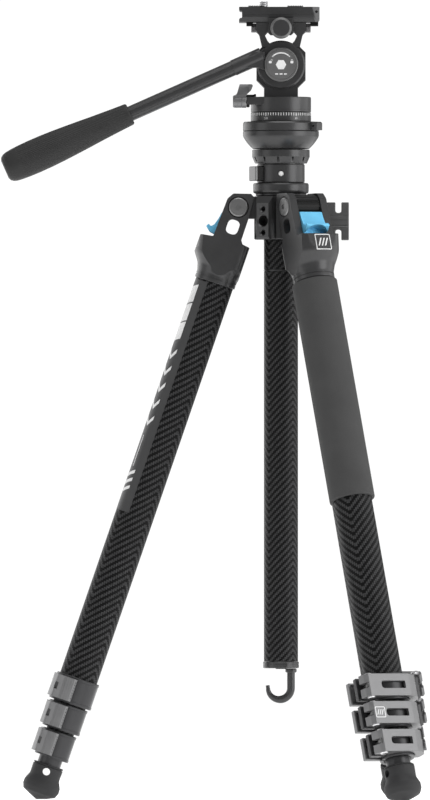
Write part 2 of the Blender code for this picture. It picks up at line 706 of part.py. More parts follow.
def tilt_platform():
    """The tilting yoke: two discs on the axle, arms up to a bridge, and the handle's socket on the front disc."""
    arms = [
        (-0.0139, 0.5560),
        (-0.0060, 0.5560),
        (-0.0100, 0.5607),
        (-0.0120, 0.5650),
        (-0.0100, 0.5673),
        (0.0100, 0.5673),
        (0.0120, 0.5650),
        (0.0100, 0.5607),
        (0.0060, 0.5560),
        (0.0139, 0.5560),
        (0.0162, 0.5660),
        (0.0186, 0.5679),
        (0.0186, 0.5742),
        (-0.0186, 0.5742),
        (-0.0186, 0.5679),
        (-0.0162, 0.5660),
    ]
    inner, outer = DISC_FACES
    body = block("bridge", (-0.0183, 0.0015 - outer, 0.5681), (0.0183, outer - 0.0015, 0.5739))
    for side in (-1, 1):
        low, high = sorted((side * inner, side * outer))
        join(body, plate("arms", arms, low + 0.0004, high - 0.0006, upright=True))
        join(body, rod("disc", DISC_RADIUS, (0, low, TILT_Z), (0, high, TILT_Z), 24))
    join(body, block("step_ears", (-0.0220, -0.0100, 0.5675), (0.0220, 0.0100, 0.5712)))
    start, direction = handle_frame()
    hub_start = start + direction * 0.0120
    hub_end = start + direction * 0.0300
    socket = rod("handle_socket", 0.0072, hub_start, hub_end, 16)
    join(body, socket)
    join(body, block("socket_web", (-0.0205, -0.0250, 0.5403), (-0.0120, -0.0155, 0.5517)))
    cut(body, rod("axle_bore", 0.0063, (0, -0.03, TILT_Z), (0, 0.03, TILT_Z), 16))
    cut(body, rod("badge_clearance", BADGE_RADIUS + 0.0004, (0, -0.05, TILT_Z), (0, -outer - 0.0001, TILT_Z), 28))
    return cut(body, rod("rod_bore", ROD_RADIUS + GAP, start + direction * 0.0180, start + direction * 0.06, 16))


def tilt_lock_knob():
    """The round badge knob on the tilt axis, with its stud."""
    face = -DISC_FACES[1] - GAP
    knob = rod("badge", BADGE_RADIUS, (0, face - 0.0070, TILT_Z), (0, face, TILT_Z), 28)
    return join(knob, rod("badge_stud", 0.0025, (0, face - 0.001, TILT_Z), (0, -0.0085, TILT_Z), 12))


def handle_grip():
    """A slim handle grip that swells towards its round end."""
    profile = [
        (0.0059, 0.0),
        (0.0076, 0.0),
        (0.0082, 0.0010),
        (0.0098, 0.0260),
        (0.0114, 0.0480),
        (0.0124, 0.0680),
        (0.0125, 0.0780),
        (0.0119, 0.0920),
        (0.0106, 0.0985),
        (0.0070, GRIP_LENGTH),
        (0, GRIP_LENGTH),
        (0, 0.0245),
        (0.0059, 0.0245),
    ]
    placed = [(r, GRIP_START + z) for r, z in reversed(profile)]
    return turned("handle_grip", placed, hollow=True)


def quick_release_plate():
    """The camera plate, with its two pads and the stops under its ends."""
    body = block("plate_body", (-0.0310, -0.0190, PLATE_LOW), (0.0285, 0.0190, PLATE_HIGH))
    for low, high in ((-0.0256, -0.0207), (0.0217, 0.0276)):
        join(body, block("plate_stop", (low, -0.0150, 0.5716), (high, -0.0060, 0.5750)))
    for low, high in ((-0.0170, -0.0060), (0.0060, 0.0170)):
        join(body, block("split_pad", (-0.0242, low, PLATE_HIGH - 0.001), (-0.0126, high, PAD_HIGH)))
    join(body, block("pad", (0.0047, -0.0170, PLATE_HIGH - 0.001), (0.0163, 0.0170, PAD_HIGH)))
    cut(body, block("end_groove", (-0.04, -0.03, 0.5771), (-0.0290, 0.03, 0.5832)))
    cut(body, rod("head_recess", 0.0073, (SCREW_X, 0, 0.57), (SCREW_X, 0, 0.5802), SIDES))
    return cut(body, rod("screw_bore", 0.0035, (SCREW_X, 0, 0.579), (SCREW_X, 0, 0.60), SMALL_SIDES))


def plate_clamp():
    """The clamp's jaw on the front of the bridge, with a foot that reaches under the plate."""
    jaw = [
        (-0.0093, 0.5660),
        (-0.0078, 0.5646),
        (0.0075, 0.5646),
        (0.0090, 0.5660),
        (0.0090, 0.5774),
        (-0.0093, 0.5774),
    ]
    body = plate("jaw", jaw, -0.0250, -0.0193, upright=True)
    return cut(body, rod("jaw_bore", 0.0033, (0, -0.03, 0.5698), (0, -0.01, 0.5698), 12))


def plate_lock_knob():
    profile = [(0, 0.0080), (0.0059, 0.0080), (0.0079, 0.0062), (0.0079, 0), (0.0030, 0), (0.0030, -0.0055), (0, -0.0055)]
    front = Matrix.Translation((0, -0.0253, 0.5698)) @ Matrix.Rotation(math.pi / 2, 4, "X")
    return turned("plate_lock_knob", profile, sides=24, place=front)


def camera_screw():
    profile = [(0, 0.5905), (0.0024, 0.5905), (0.00317, 0.5895), (0.00317, 0.5799), (0.0070, 0.5799)]
    profile += [(0.0070, 0.5764), (0, 0.5764)]
    return turned("camera_screw", profile, sides=16, place=Matrix.Translation((SCREW_X, 0, 0)))


def build_head(root):
    ball_centre = (0, 0, BALL_Z)
    finish("levelling_bowl", levelling_bowl(), root, CASTING, ball_centre)
    finish("clamp_plate", clamp_plate(), root, CASTING, ball_centre)
    base = [(0, 0.5150), (0.0080, 0.5150), (0.0080, 0.5079), (PAN_RADIUS, 0.5079), (PAN_RADIUS, 0.5014), (0, 0.5014)]
    finish("pan_base", turned("pan_base", base, sides=28), root, CASTING)
    finish("head_frame", head_frame(), root, CASTING)
    finish("pan_lock_lever", pan_lock_lever(), root, LEVER, PAN_LOCK)
    tilt = new_empty("tilt_axis", root, (0, 0, TILT_Z))
    down = (0, 0, TILT_Z)

    def finish_tilting(name, shape, material, origin=down):
        made = finish(name, shape, tilt, material, origin)
        made.location = Vector(origin) - Vector(down)
        return made

    finish_tilting("tilt_platform", tilt_platform(), CASTING)
    finish_tilting("tilt_lock_knob", tilt_lock_knob(), COLLAR)
    finish_tilting("plate_clamp", plate_clamp(), CASTING)
    finish_tilting("plate_lock_knob", plate_lock_knob(), CASTING, (0, -0.0253, 0.5698))
    finish_tilting("quick_release_plate", quick_release_plate(), CASTING)
    finish_tilting("camera_screw", camera_screw(), STEEL, (SCREW_X, 0, 0.5799))
    start, direction = handle_frame()
    handle = new_empty("handle_axis", tilt, start - Vector(down), direction.to_track_quat("Z", "Y").to_matrix().to_4x4())
    bar = rod("handle_rod", ROD_RADIUS, (0, 0, 0.0190), (0, 0, GRIP_START + 0.0240), 16)
    finish("handle_rod", bar, handle, CASTING)
    finish("handle_grip", handle_grip(), handle, RUBBER)


ROOT = new_empty("column_axis", None, (COLUMN_X, COLUMN_Y, 0))
build_column(ROOT)
build_head(ROOT)
build_legs(ROOT)
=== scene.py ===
"""The looks of the tripod with fluid head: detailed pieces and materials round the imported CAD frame.

Every length is in metres, in the frame's own axes: X runs across the front view, -Y is the front, Z is up.
"""

import json
import math

import bmesh
import bpy
from mathutils import Matrix, Vector

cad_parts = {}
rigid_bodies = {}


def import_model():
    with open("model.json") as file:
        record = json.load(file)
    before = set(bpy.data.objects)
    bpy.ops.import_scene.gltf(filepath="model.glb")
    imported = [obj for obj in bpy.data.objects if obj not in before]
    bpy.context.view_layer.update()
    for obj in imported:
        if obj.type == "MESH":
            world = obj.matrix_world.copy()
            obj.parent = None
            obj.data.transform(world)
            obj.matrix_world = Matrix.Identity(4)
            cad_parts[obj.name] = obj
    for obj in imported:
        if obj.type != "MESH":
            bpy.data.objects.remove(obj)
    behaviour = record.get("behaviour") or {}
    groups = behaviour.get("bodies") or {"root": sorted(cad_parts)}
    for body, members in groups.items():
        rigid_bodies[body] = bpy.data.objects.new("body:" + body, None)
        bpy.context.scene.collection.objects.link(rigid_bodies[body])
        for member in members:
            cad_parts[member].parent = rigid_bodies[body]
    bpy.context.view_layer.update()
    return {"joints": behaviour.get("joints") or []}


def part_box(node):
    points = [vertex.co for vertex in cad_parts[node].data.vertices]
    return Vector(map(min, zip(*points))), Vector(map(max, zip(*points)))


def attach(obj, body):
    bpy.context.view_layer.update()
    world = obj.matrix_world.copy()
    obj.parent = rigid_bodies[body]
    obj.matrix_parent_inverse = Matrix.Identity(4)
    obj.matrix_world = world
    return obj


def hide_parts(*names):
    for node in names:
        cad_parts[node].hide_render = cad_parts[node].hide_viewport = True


for startup_object in list(bpy.data.objects):
    bpy.data.objects.remove(startup_object, do_unlink=True)

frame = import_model()
JOINTS = {joint["name"]: joint for joint in frame["joints"]}

# Places that the frame gives
column_low, column_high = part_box("column_lower")
COLUMN = Matrix.Translation(((column_low.x + column_high.x) / 2, (column_low.y + column_high.y) / 2, 0))
LEGS = ("left", "front", "rear")
TILT_Z = JOINTS["tilt"]["pos_m"][2]
BALL_Z = JOINTS["level_tilt"]["pos_m"][2]
KNOB_Z = JOINTS["column_knob_turn"]["pos_m"][2]
PORT_AZIMUTH = math.radians(-120)

# Sizes in a leg's frame: +X out from the column, -Z down the leg, and the origin at the hinge
TUBE_OUT = -0.0016  # from the leg's line to its tube's axis
TUBE_RADII = (0.0143, 0.01245, 0.01055, 0.00865)
TUBE_TOPS = (0.033, 0.062, 0.066, 0.07)
COLLARS = ((0.3678, 0.3878, 0.0163), (0.3889, 0.4085, 0.0145), (0.41, 0.43, 0.013))  # top, bottom, radius
LEVER_NOSES = (1.0, 0.93, 0.7)  # share of the upper lever's nose: the lower two stay in the box
LEVER_FACES = (0.0181, 0.0168, 0.016)
LEVER_HEIGHT = 0.017
PIN_IN = 0.0041
PIN_SIDES = (-0.0215, -0.0207, -0.0176)
EAR_SPAN = 0.0157
SLOT_HALF_WIDTH = 0.01
BOLT_CAP_RADIUS = 0.007

# Head
PAN_RADIUS = 0.0223
BALL_RADIUS = 0.0316
BADGE_RADIUS = 0.0126
DISC_RADIUS = 0.0179
PAN_LOCK_AXIS = (-0.014, 0.5158)  # the pan lock's Y and Z
PLATE_KNOB_Z = 0.5698
HANDLE_Y = -0.0246
HANDLE_DROP = math.radians(23.96)
HANDLE_OFFSET = 0.0119
GRIP_START = 0.1165
SCREW_X = -0.0127

FINE = 96  # sides of a round that fills much of the view
SMALL = 40  # sides of a small round


# Studio


def add_node(tree, kind, inputs=None, **settings):
    """A new node. Each input is given a number, a colour, or the output of another node."""
    node = tree.nodes.new(kind)
    for name, value in settings.items():
        setattr(node, name, value)
    for name, value in (inputs or {}).items():
        if isinstance(value, bpy.types.NodeSocket):
            tree.links.new(value, node.inputs[name])
        else:
            node.inputs[name].default_value = value
    return node


def maths(tree, operation, a, b=0.0, clamp=False):
    return add_node(tree, "ShaderNodeMath", {0: a, 1: b}, operation=operation, use_clamp=clamp).outputs[0]


def area_light(name, place, target, width, height, power):
    light = bpy.data.lights.new(name, "AREA")
    light.shape = "RECTANGLE"
    light.size = width
    light.size_y = height
    light.energy = power
    lamp = bpy.data.objects.new(name, light)
    lamp.location = place
    lamp.rotation_euler = (Vector(target) - Vector(place)).to_track_quat("-Z", "Y").to_euler()
    bpy.context.scene.collection.objects.link(lamp)
    return lamp


def make_studio():
    """A white studio: a bright surround, a pale floor, and a softbox on each side of the object."""
    scene = bpy.context.scene
    scene.view_settings.view_transform = "Standard"
    world = bpy.data.worlds.new("studio")
    scene.world = world
    world.use_nodes = True
    tree = world.node_tree
    tree.nodes.clear()
    seen = add_node(tree, "ShaderNodeLightPath").outputs["Is Camera Ray"]
    surround = add_node(tree, "ShaderNodeBackground", {"Color": (1, 1, 1, 1), "Strength": 0.38})
    backdrop = add_node(tree, "ShaderNodeBackground", {"Color": (1, 1, 1, 1), "Strength": 1.05})
    either = add_node(tree, "ShaderNodeMixShader", {0: seen, 1: surround.outputs[0], 2: backdrop.outputs[0]})
    add_node(tree, "ShaderNodeOutputWorld", {"Surface": either.outputs[0]})

    centre = (0, 0, 0.33)
    area_light("right_softbox", (1.75, -0.95, 0.5), centre, 1.3, 1.8, 22)
    area_light("right_side", (1.9, 0.5, 0.5), centre, 1.5, 1.8, 10)
    area_light("left_softbox", (-1.75, -0.95, 0.5), centre, 1.1, 1.8, 5)
    area_light("left_rim", (-1.45, 1.35, 0.5), centre, 1.9, 1.8, 16)
    area_light("top_softbox", (0.1, -0.4, 2.0), centre, 1.4, 1.4, 16)

    floor_mesh = bpy.data.meshes.new("floor")
    bm = bmesh.new()
    bmesh.ops.create_circle(bm, cap_ends=True, segments=96, radius=1.6)
    bm.to_mesh(floor_mesh)
    bm.free()
    floor = bpy.data.objects.new("floor", floor_mesh)
    floor.location = (0, 0, -0.0002)
    scene.collection.objects.link(floor)
    paint = bpy.data.materials.new("studio_floor")
    paint.use_nodes = True
    shader = paint.node_tree.nodes["Principled BSDF"]
    shader.inputs["Base Color"].default_value = (0.85, 0.85, 0.85, 1)
    shader.inputs["Roughness"].default_value = 0.9
    shader.inputs["Specular IOR Level"].default_value = 0.1
    shader.inputs["Emission Color"].default_value = (1, 1, 1, 1)
    shader.inputs["Emission Strength"].default_value = 0.75
    floor_mesh.materials.append(paint)


CAMERA_DISTANCE = 15.0
CAMERA_RISE = math.radians(-0.45)  # the camera looks up by this much
FRAME_HEIGHT = 0.592  # what the picture's long side takes in, at the column
CAMERA_TARGET = (COLUMN.translation.x - 0.0488, COLUMN.translation.y, 0.29525)


def make_camera():
    """A very long lens, looking straight at the tripod's front."""
    camera = bpy.data.cameras.new("camera")
    camera.sensor_width = 36
    camera.lens = camera.sensor_width * CAMERA_DISTANCE / FRAME_HEIGHT
    camera.clip_start = 1
    camera.clip_end = 50
    holder = bpy.data.objects.new("camera", camera)
    back = Vector((0, -math.cos(CAMERA_RISE), math.sin(CAMERA_RISE)))
    holder.location = Vector(CAMERA_TARGET) + back * CAMERA_DISTANCE
    holder.rotation_euler = (math.pi / 2 - CAMERA_RISE, 0, 0)
    bpy.context.scene.collection.objects.link(holder)
    bpy.context.scene.camera = holder


make_studio()
make_camera()


# Materials. Patterns are in metres: object coordinates, or the map that lathe() lays round a tube.


def surface(name, colour, roughness, metallic=0.0, coat=0.0, specular=0.5):
    """A Principled material, and its shader and node tree for the pattern that is added to it."""
    made = bpy.data.materials.new(name)
    made.use_nodes = True
    tree = made.node_tree
    shader = tree.nodes["Principled BSDF"]
    shader.inputs["Base Color"].default_value = (*colour, 1)
    shader.inputs["Roughness"].default_value = roughness
    shader.inputs["Metallic"].default_value = metallic
    shader.inputs["Coat Weight"].default_value = coat
    shader.inputs["Coat Roughness"].default_value = 0.25
    shader.inputs["Specular IOR Level"].default_value = specular
    return made, tree, shader


def noise(tree, scale, detail=3.0, coordinates="Object"):
    place = add_node(tree, "ShaderNodeTexCoord").outputs[coordinates]
    inputs = {"Vector": place, "Scale": scale, "Detail": detail}
    return add_node(tree, "ShaderNodeTexNoise", inputs).outputs["Fac"]


def spread(tree, value, low, high):
    """The value, from 0 to 1, spread over a new range."""
    inputs = {"Value": value, "To Min": low, "To Max": high}
    return add_node(tree, "ShaderNodeMapRange", inputs).outputs["Result"]


def tint(tree, amount, first, second):
    mix = add_node(tree, "ShaderNodeMix", data_type="RGBA")
    mix.inputs[0].default_value = 0.5
    tree.links.new(amount, mix.inputs[0])
    mix.inputs[6].default_value = (*first, 1)
    mix.inputs[7].default_value = (*second, 1)
    return mix.outputs[2]


def bump(tree, shader, height, distance, strength=1.0):
    node = add_node(tree, "ShaderNodeBump", {"Height": height, "Distance": distance, "Strength": strength})
    tree.links.new(node.outputs[0], shader.inputs["Normal"])
    return node


def anodised(name, colour, roughness, metallic=0.55, specular=0.5):
    """Bead-blasted, anodised aluminium: a fine grain, and a faint unevenness in its tone and gloss."""
    made, tree, shader = surface(name, colour, roughness, metallic, specular=specular)
    cloud = noise(tree, 90)
    grain = noise(tree, 5200, 1.0)
    darker = tuple(c * 0.86 for c in colour)
    lighter = tuple(c * 1.14 for c in colour)
    tree.links.new(tint(tree, cloud, darker, lighter), shader.inputs["Base Color"])
    tree.links.new(spread(tree, cloud, roughness - 0.05, roughness + 0.05), shader.inputs["Roughness"])
    bump(tree, shader, grain, 0.00002, 0.6)
    return made


def moulded(name, colour, roughness, grain_scale, depth):
    """Moulded rubber or foam: a matt skin with a close, random grain."""
    made, tree, shader = surface(name, colour, roughness, specular=0.3)
    cloud = noise(tree, 60)
    grain = noise(tree, grain_scale, 4.0)
    darker = tuple(c * 0.85 for c in colour)
    lighter = tuple(c * 1.15 for c in colour)
    tree.links.new(tint(tree, cloud, darker, lighter), shader.inputs["Base Color"])
    tree.links.new(spread(tree, grain, roughness - 0.08, roughness + 0.08), shader.inputs["Roughness"])
    bump(tree, shader, grain, depth)
    return made


TOW = 0.0014  # width of one bundle of carbon fibres
TOWS_PER_BAND = 16  # bundles between two reversals of the herringbone
BANDS = 4  # bands round a tube


def carbon(name):
    """A two-by-two twill of carbon fibre whose diagonal reverses in bands, under a thin satin coat. The
    lengthwise bundles are painted lighter, brightest along their crowns and speckled with painted glints:
    painted sheen in place of the fibres' reflection.
    """
    made, tree, shader = surface(name, (0.02, 0.02, 0.02), 0.5, specular=0.12)
    place = add_node(tree, "ShaderNodeUVMap", uv_map="metres").outputs["UV"]
    across_down = add_node(tree, "ShaderNodeSeparateXYZ", {0: place}).outputs
    bundles = maths(tree, "ADD", maths(tree, "DIVIDE", across_down[0], TOW), TOWS_PER_BAND / 2)
    across = maths(tree, "PINGPONG", bundles, TOWS_PER_BAND)
    down = maths(tree, "DIVIDE", across_down[1], TOW)
    steps = maths(tree, "ADD", maths(tree, "FLOOR", across), maths(tree, "FLOOR", down))
    lengthwise = maths(tree, "LESS_THAN", maths(tree, "FLOORED_MODULO", steps, 4.0), 1.5)
    half_turn = math.pi
    across_crown = maths(tree, "SINE", maths(tree, "MULTIPLY", maths(tree, "FRACT", across), half_turn))
    down_crown = maths(tree, "SINE", maths(tree, "MULTIPLY", maths(tree, "FRACT", down), half_turn))
    pick = add_node(tree, "ShaderNodeMix", {0: lengthwise, 2: down_crown, 3: across_crown}, data_type="FLOAT")
    crown = pick.outputs[0]
    # painted glints: this noise speckles the lighter bundles with painted highlights
    fibre = noise(tree, 700, 3.0, "Object")
    # painted sheen: lengthwise bundles painted lighter, most of all along each bundle's crown, standing in
    # for the fibres' reflection
    bright = maths(tree, "MULTIPLY", lengthwise, spread(tree, crown, 0.25, 0.8))
    bright = maths(tree, "MULTIPLY", bright, spread(tree, fibre, 0.0, 1.6), True)
    shade = tint(tree, bright, (0.0025, 0.0025, 0.0026), (0.07, 0.07, 0.072))
    tree.links.new(shade, shader.inputs["Base Color"])
    tree.links.new(spread(tree, bright, 0.5, 0.36), shader.inputs["Roughness"])
    bump(tree, shader, crown, 0.00006, 0.7)
    return made


CASTING = anodised("charcoal_casting", (0.049, 0.049, 0.05), 0.3, 0.45)
COLLAR_METAL = anodised("dark_grey_collar", (0.048, 0.048, 0.05), 0.33)
LEVER_METAL = anodised("light_grey_lever", (0.19, 0.19, 0.193), 0.38)
CAP_METAL = anodised("grey_bolt_cap", (0.2, 0.2, 0.2), 0.32, 0.8)
KNOB_METAL = anodised("mid_grey_knob", (0.105, 0.105, 0.106), 0.36)
BADGE_METAL = anodised("mid_grey_badge", (0.13, 0.13, 0.13), 0.42, 0.4)
PALE_METAL = anodised("pale_grey_edge", (0.24, 0.235, 0.24), 0.36, 0.6)
BLUE_METAL = anodised("blue_tab", (0.17, 0.58, 0.88), 0.34, 0.3)
STEEL = anodised("bright_steel", (0.76, 0.76, 0.77), 0.34, 1.0)
BLACK = anodised("black_part", (0.006, 0.006, 0.006), 0.42, 0.1, 0.18)
FOOT_RUBBER = moulded("foot_rubber", (0.028, 0.028, 0.029), 0.62, 2600, 0.00004)
GRIP_RUBBER = moulded("grip_rubber", (0.024, 0.024, 0.024), 0.58, 3400, 0.00003)
PAD_RUBBER = moulded("pad_rubber", (0.012, 0.012, 0.012), 0.7, 2600, 0.00003)
FOAM = moulded("grip_foam", (0.05, 0.05, 0.05), 0.72, 1500, 0.00009)
LABEL = moulded("label_film", (0.045, 0.045, 0.046), 0.45, 2200, 0.00001)
WHITE_INK = moulded("white_ink", (0.72, 0.72, 0.72), 0.55, 3000, 0.00001)
CARBON = carbon("carbon_twill")


# Shapes. Each function returns a mesh object that isn't yet in its place.


def new_object(name, mesh):
    made = bpy.data.objects.new(name, mesh)
    bpy.context.scene.collection.objects.link(made)
    return made


def from_bmesh(name, bm):
    """An object with this mesh, which is freed."""
    mesh = bpy.data.meshes.new(name)
    bm.to_mesh(mesh)
    bm.free()
    return new_object(name, mesh)


def evaluated_mesh(obj):
    """The object's mesh with its modifiers applied."""
    bpy.context.view_layer.update()
    return bpy.data.meshes.new_from_object(obj.evaluated_get(bpy.context.evaluated_depsgraph_get()))


def round_tube(name, columns, rows, place, radius_at):
    """A closed tube of rings about Z, with the height place(row) and the radius radius_at(row, column)."""
    bm = bmesh.new()
    turns = [math.tau * i / columns for i in range(columns)]
    grid = []
    for row in range(rows + 1):
        z = place(row)
        spokes = [(radius_at(row, i), turns[i]) for i in range(columns)]
        grid.append([bm.verts.new((r * math.cos(a), r * math.sin(a), z)) for r, a in spokes])
    for lower, upper in zip(grid, grid[1:]):
        for i in range(columns):
            j = (i + 1) % columns
            bm.faces.new((lower[i], lower[j], upper[j], upper[i]))
    bm.faces.new(grid[0][::-1])
    bm.faces.new(grid[-1])
    return from_bmesh(name, bm)


def rounded(points, radius, closed=True, steps=5):
    """The outline with its corners rounded. A point may give its own radius as a third number."""
    result = []
    count = len(points)
    for i, point in enumerate(points):
        corner = Vector(point[:2])
        own = point[2] if len(point) > 2 else radius
        if own == 0 or not closed and i in (0, count - 1):
            result.append(tuple(corner))
            continue
        before = Vector(points[i - 1][:2]) - corner
        after = Vector(points[(i + 1) % count][:2]) - corner
        opening = before.angle(after)
        if opening > math.radians(176):
            result.append(tuple(corner))
            continue
        reach = min(own / math.tan(opening / 2), 0.46 * before.length, 0.46 * after.length)
        start = corner + before.normalized() * reach
        end = corner + after.normalized() * reach
        for step in range(steps + 1):
            t = step / steps
            result.append(tuple(start * (1 - t) ** 2 + corner * 2 * t * (1 - t) + end * t**2))
    return result


def box_outline(low, high, radius=0.0, steps=5):
    corners = [(low[0], low[1]), (high[0], low[1]), (high[0], high[1]), (low[0], high[1])]
    return rounded(corners, radius, steps=steps) if radius else corners


def circle_outline(centre, radius, count=SMALL):
    turns = [math.tau * i / count for i in range(count)]
    return [(centre[0] + radius * math.cos(a), centre[1] + radius * math.sin(a)) for a in turns]


def arc(centre, radius, start, end, steps):
    """Points on an arc, from one angle to another, in degrees."""
    turns = [math.radians(start + (end - start) * i / steps) for i in range(steps + 1)]
    return [(centre[0] + radius * math.cos(a), centre[1] + radius * math.sin(a)) for a in turns]


AXES = {
    "Z": Matrix.Identity(4),
    "Y": Matrix.Rotation(math.pi / 2, 4, "X"),
    "X": Matrix(((0, 0, 1, 0), (1, 0, 0, 0), (0, 1, 0, 0), (0, 0, 0, 1))),
}


def slab(name, outline, low, high, axis="Z", bevel=0.0, segments=2):
    """An outline drawn square to an axis and extruded along it, with its rims bevelled.

    It is drawn in XY for the Z axis, in XZ for the Y axis, and in YZ for the X axis.
    """
    if axis == "Y":
        low, high = -high, -low
    bm = bmesh.new()
    bottom = [bm.verts.new((a, b, low)) for a, b in outline]
    top = [bm.verts.new((a, b, high)) for a, b in outline]
    rims = []
    rims += bm.faces.new(bottom).edges
    rims += bm.faces.new(top).edges
    count = len(outline)
    for i in range(count):
        j = (i + 1) % count
        bm.faces.new((bottom[i], bottom[j], top[j], top[i]))
    bmesh.ops.recalc_face_normals(bm, faces=bm.faces)
    if bevel:
        bmesh.ops.bevel(
            bm,
            geom=rims,
            offset=bevel,
            offset_type="OFFSET",
            segments=segments,
            profile=0.5,
            affect="EDGES",
            clamp_overlap=True,
        )
        bmesh.ops.remove_doubles(bm, verts=bm.verts, dist=1e-7)
    return moved(from_bmesh(name, bm), AXES[axis])


def brick(name, low, high, bevel=0.0004, segments=2):
    """A box between two corners with every edge bevelled."""
    low, high = Vector(low), Vector(high)
    bm = bmesh.new()
    place = Matrix.Translation((low + high) / 2) @ Matrix.Diagonal((*(high - low), 1))
    bmesh.ops.create_cube(bm, size=1, matrix=place)
    if bevel:
        bmesh.ops.bevel(bm, geom=bm.edges, offset=bevel, segments=segments, profile=0.5, affect="EDGES")
    return from_bmesh(name, bm)


def lathe(name, profile, sides=FINE, hollow=False, start=0.0, sweep=math.tau):
    """A profile of (radius, height) points, turned about Z. Its map, "metres", is (way round, height)."""
    full = abs(sweep - math.tau) < 1e-6
    bm = bmesh.new()
    layer = bm.loops.layers.uv.new("metres")
    widest = max(r for r, _ in profile)
    columns = sides if full else sides + 1
    rings = []
    for r, z in profile:
        if r < 1e-7:
            rings.append([bm.verts.new((0, 0, z))] * columns)
            continue
        turns = [start + sweep * i / sides for i in range(columns)]
        rings.append([bm.verts.new((r * math.cos(a), r * math.sin(a), z)) for a in turns])
    pairs = list(zip(range(len(profile)), range(1, len(profile))))
    if hollow:
        pairs.append((len(profile) - 1, 0))
    for upper, lower in pairs:
        for i in range(sides):
            j = (i + 1) % columns
            corners = [(upper, i, i), (lower, i, i), (lower, j, i + 1), (upper, j, i + 1)]
            verts = []
            places = []
            for ring, side, turn in corners:
                vert = rings[ring][side]
                if vert not in verts:
                    verts.append(vert)
                    places.append((sweep * turn / sides * widest, profile[ring][1]))
            if len(verts) < 3:
                continue
            face = bm.faces.new(verts)
            for loop, place in zip(face.loops, places):
                loop[layer].uv = place
    if not full:
        for i in (0, sides):
            bm.faces.new([ring[i] for ring in rings])
    bmesh.ops.recalc_face_normals(bm, faces=bm.faces)
    return from_bmesh(name, bm)


def band(name, inner, outer, first, last):
    """A square-cut ring about Z, from one height to another."""
    return lathe(name, [(inner, first), (outer, first), (outer, last), (inner, last)], hollow=True)


def rod(name, radius, start, end, sides=SMALL, chamfer=0.0):
    """A cylinder between two points, with chamfered ends."""
    start, end = Vector(start), Vector(end)
    length = (end - start).length
    profile = [(0, 0), (radius - chamfer, 0), (radius, chamfer), (radius, length - chamfer)]
    profile += [(radius - chamfer, length), (0, length)]
    if not chamfer:
        profile = [(0, 0), (radius, 0), (radius, length), (0, length)]
    made = lathe(name, profile, sides)
    turn = (end - start).to_track_quat("Z", "Y").to_matrix().to_4x4()
    return moved(made, Matrix.Translation(start) @ turn)


def moved(obj, matrix):
    obj.data.transform(matrix)
    return obj


def aimed_out(place):
    """A frame at this place whose Z points along X."""
    return Matrix.Translation(place) @ Matrix.Rotation(math.pi / 2, 4, "Y")


def aimed_front(place):
    """A frame at this place whose Z points to the front."""
    return Matrix.Translation(place) @ Matrix.Rotation(math.pi / 2, 4, "X")


def turned_about_z(obj, degrees):
    return moved(obj, Matrix.Rotation(math.radians(degrees), 4, "Z"))


def combine(target, operation, tools):
    """Applies exact Booleans to the target, one after another, and removes the tools."""
    for tool in tools:
        modifier = target.modifiers.new(tool.name, "BOOLEAN")
        modifier.operation = operation
        modifier.solver = "EXACT"
        modifier.object = tool
    mesh = evaluated_mesh(target)
    target.modifiers.clear()
    target.data = mesh
    for tool in tools:
        bpy.data.objects.remove(tool, do_unlink=True)
    return target


def cut(target, *tools):
    return combine(target, "DIFFERENCE", tools)


def join(target, *tools):
    return combine(target, "UNION", tools)


def keep_within(target, *tools):
    return combine(target, "INTERSECT", tools)


def gathered(name, objects):
    """Several separate bodies made one mesh, each left as it is."""
    bm = bmesh.new()
    for obj in objects:
        bm.from_mesh(obj.data)
        bpy.data.objects.remove(obj, do_unlink=True)
    return from_bmesh(name, bm)


def settle(obj, material, angle=32):
    """The object's mesh, with its material and smooth shading that keeps its edges. The object is removed."""
    bm = bmesh.new()
    bm.from_mesh(obj.data)
    bmesh.ops.remove_doubles(bm, verts=bm.verts, dist=2e-6)
    bm.to_mesh(obj.data)
    bm.free()
    obj.data.shade_smooth()
    obj.data.set_sharp_from_angle(angle=math.radians(angle))
    weighted = obj.modifiers.new("weighted", "WEIGHTED_NORMAL")
    weighted.keep_sharp = True
    mesh = evaluated_mesh(obj)
    bpy.data.objects.remove(obj, do_unlink=True)
    mesh.materials.clear()
    mesh.materials.append(material)
    return mesh


def put(name, mesh, place, body, slot, *nodes):
    """One piece: a copy of a mesh in its place, riding on a body and standing for its CAD nodes."""
    made = new_object(name, mesh.copy())
    made.data.transform(place)
    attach(made, body)
    if nodes:
        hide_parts(*nodes)
    return made


def put_on_column(parts):
    """Puts parts, each (name, mesh, body, slot, node or None), in the column's frame."""
    for name, mesh, body, slot, node in parts:
        put(name, mesh, COLUMN, body, slot, *([node] if node else []))


# Legs. Each shape is made once, in a leg's frame, and put on all three legs.

ON_TUBE = Matrix.Translation((TUBE_OUT, 0, 0))


def leg_place(leg):
    """A leg's frame at rest, from its joints: Z up the leg, and Y along the hinge bolt."""
    spread_joint = JOINTS[f"{leg}_leg_spread"]
    up = -Vector(JOINTS[f"{leg}_leg_slide_1"]["axis"])
    side = -Vector(spread_joint["axis"])
    out = side.cross(up)
    turn = Matrix((out, side, up)).transposed().to_4x4()
    return Matrix.Translation(spread_joint["pos_m"]) @ turn


SOCKET_BACK = -0.0176  # the socket's flat side, which faces the column
INNER_ROUND = 0.0062  # radius of that side's two long edges


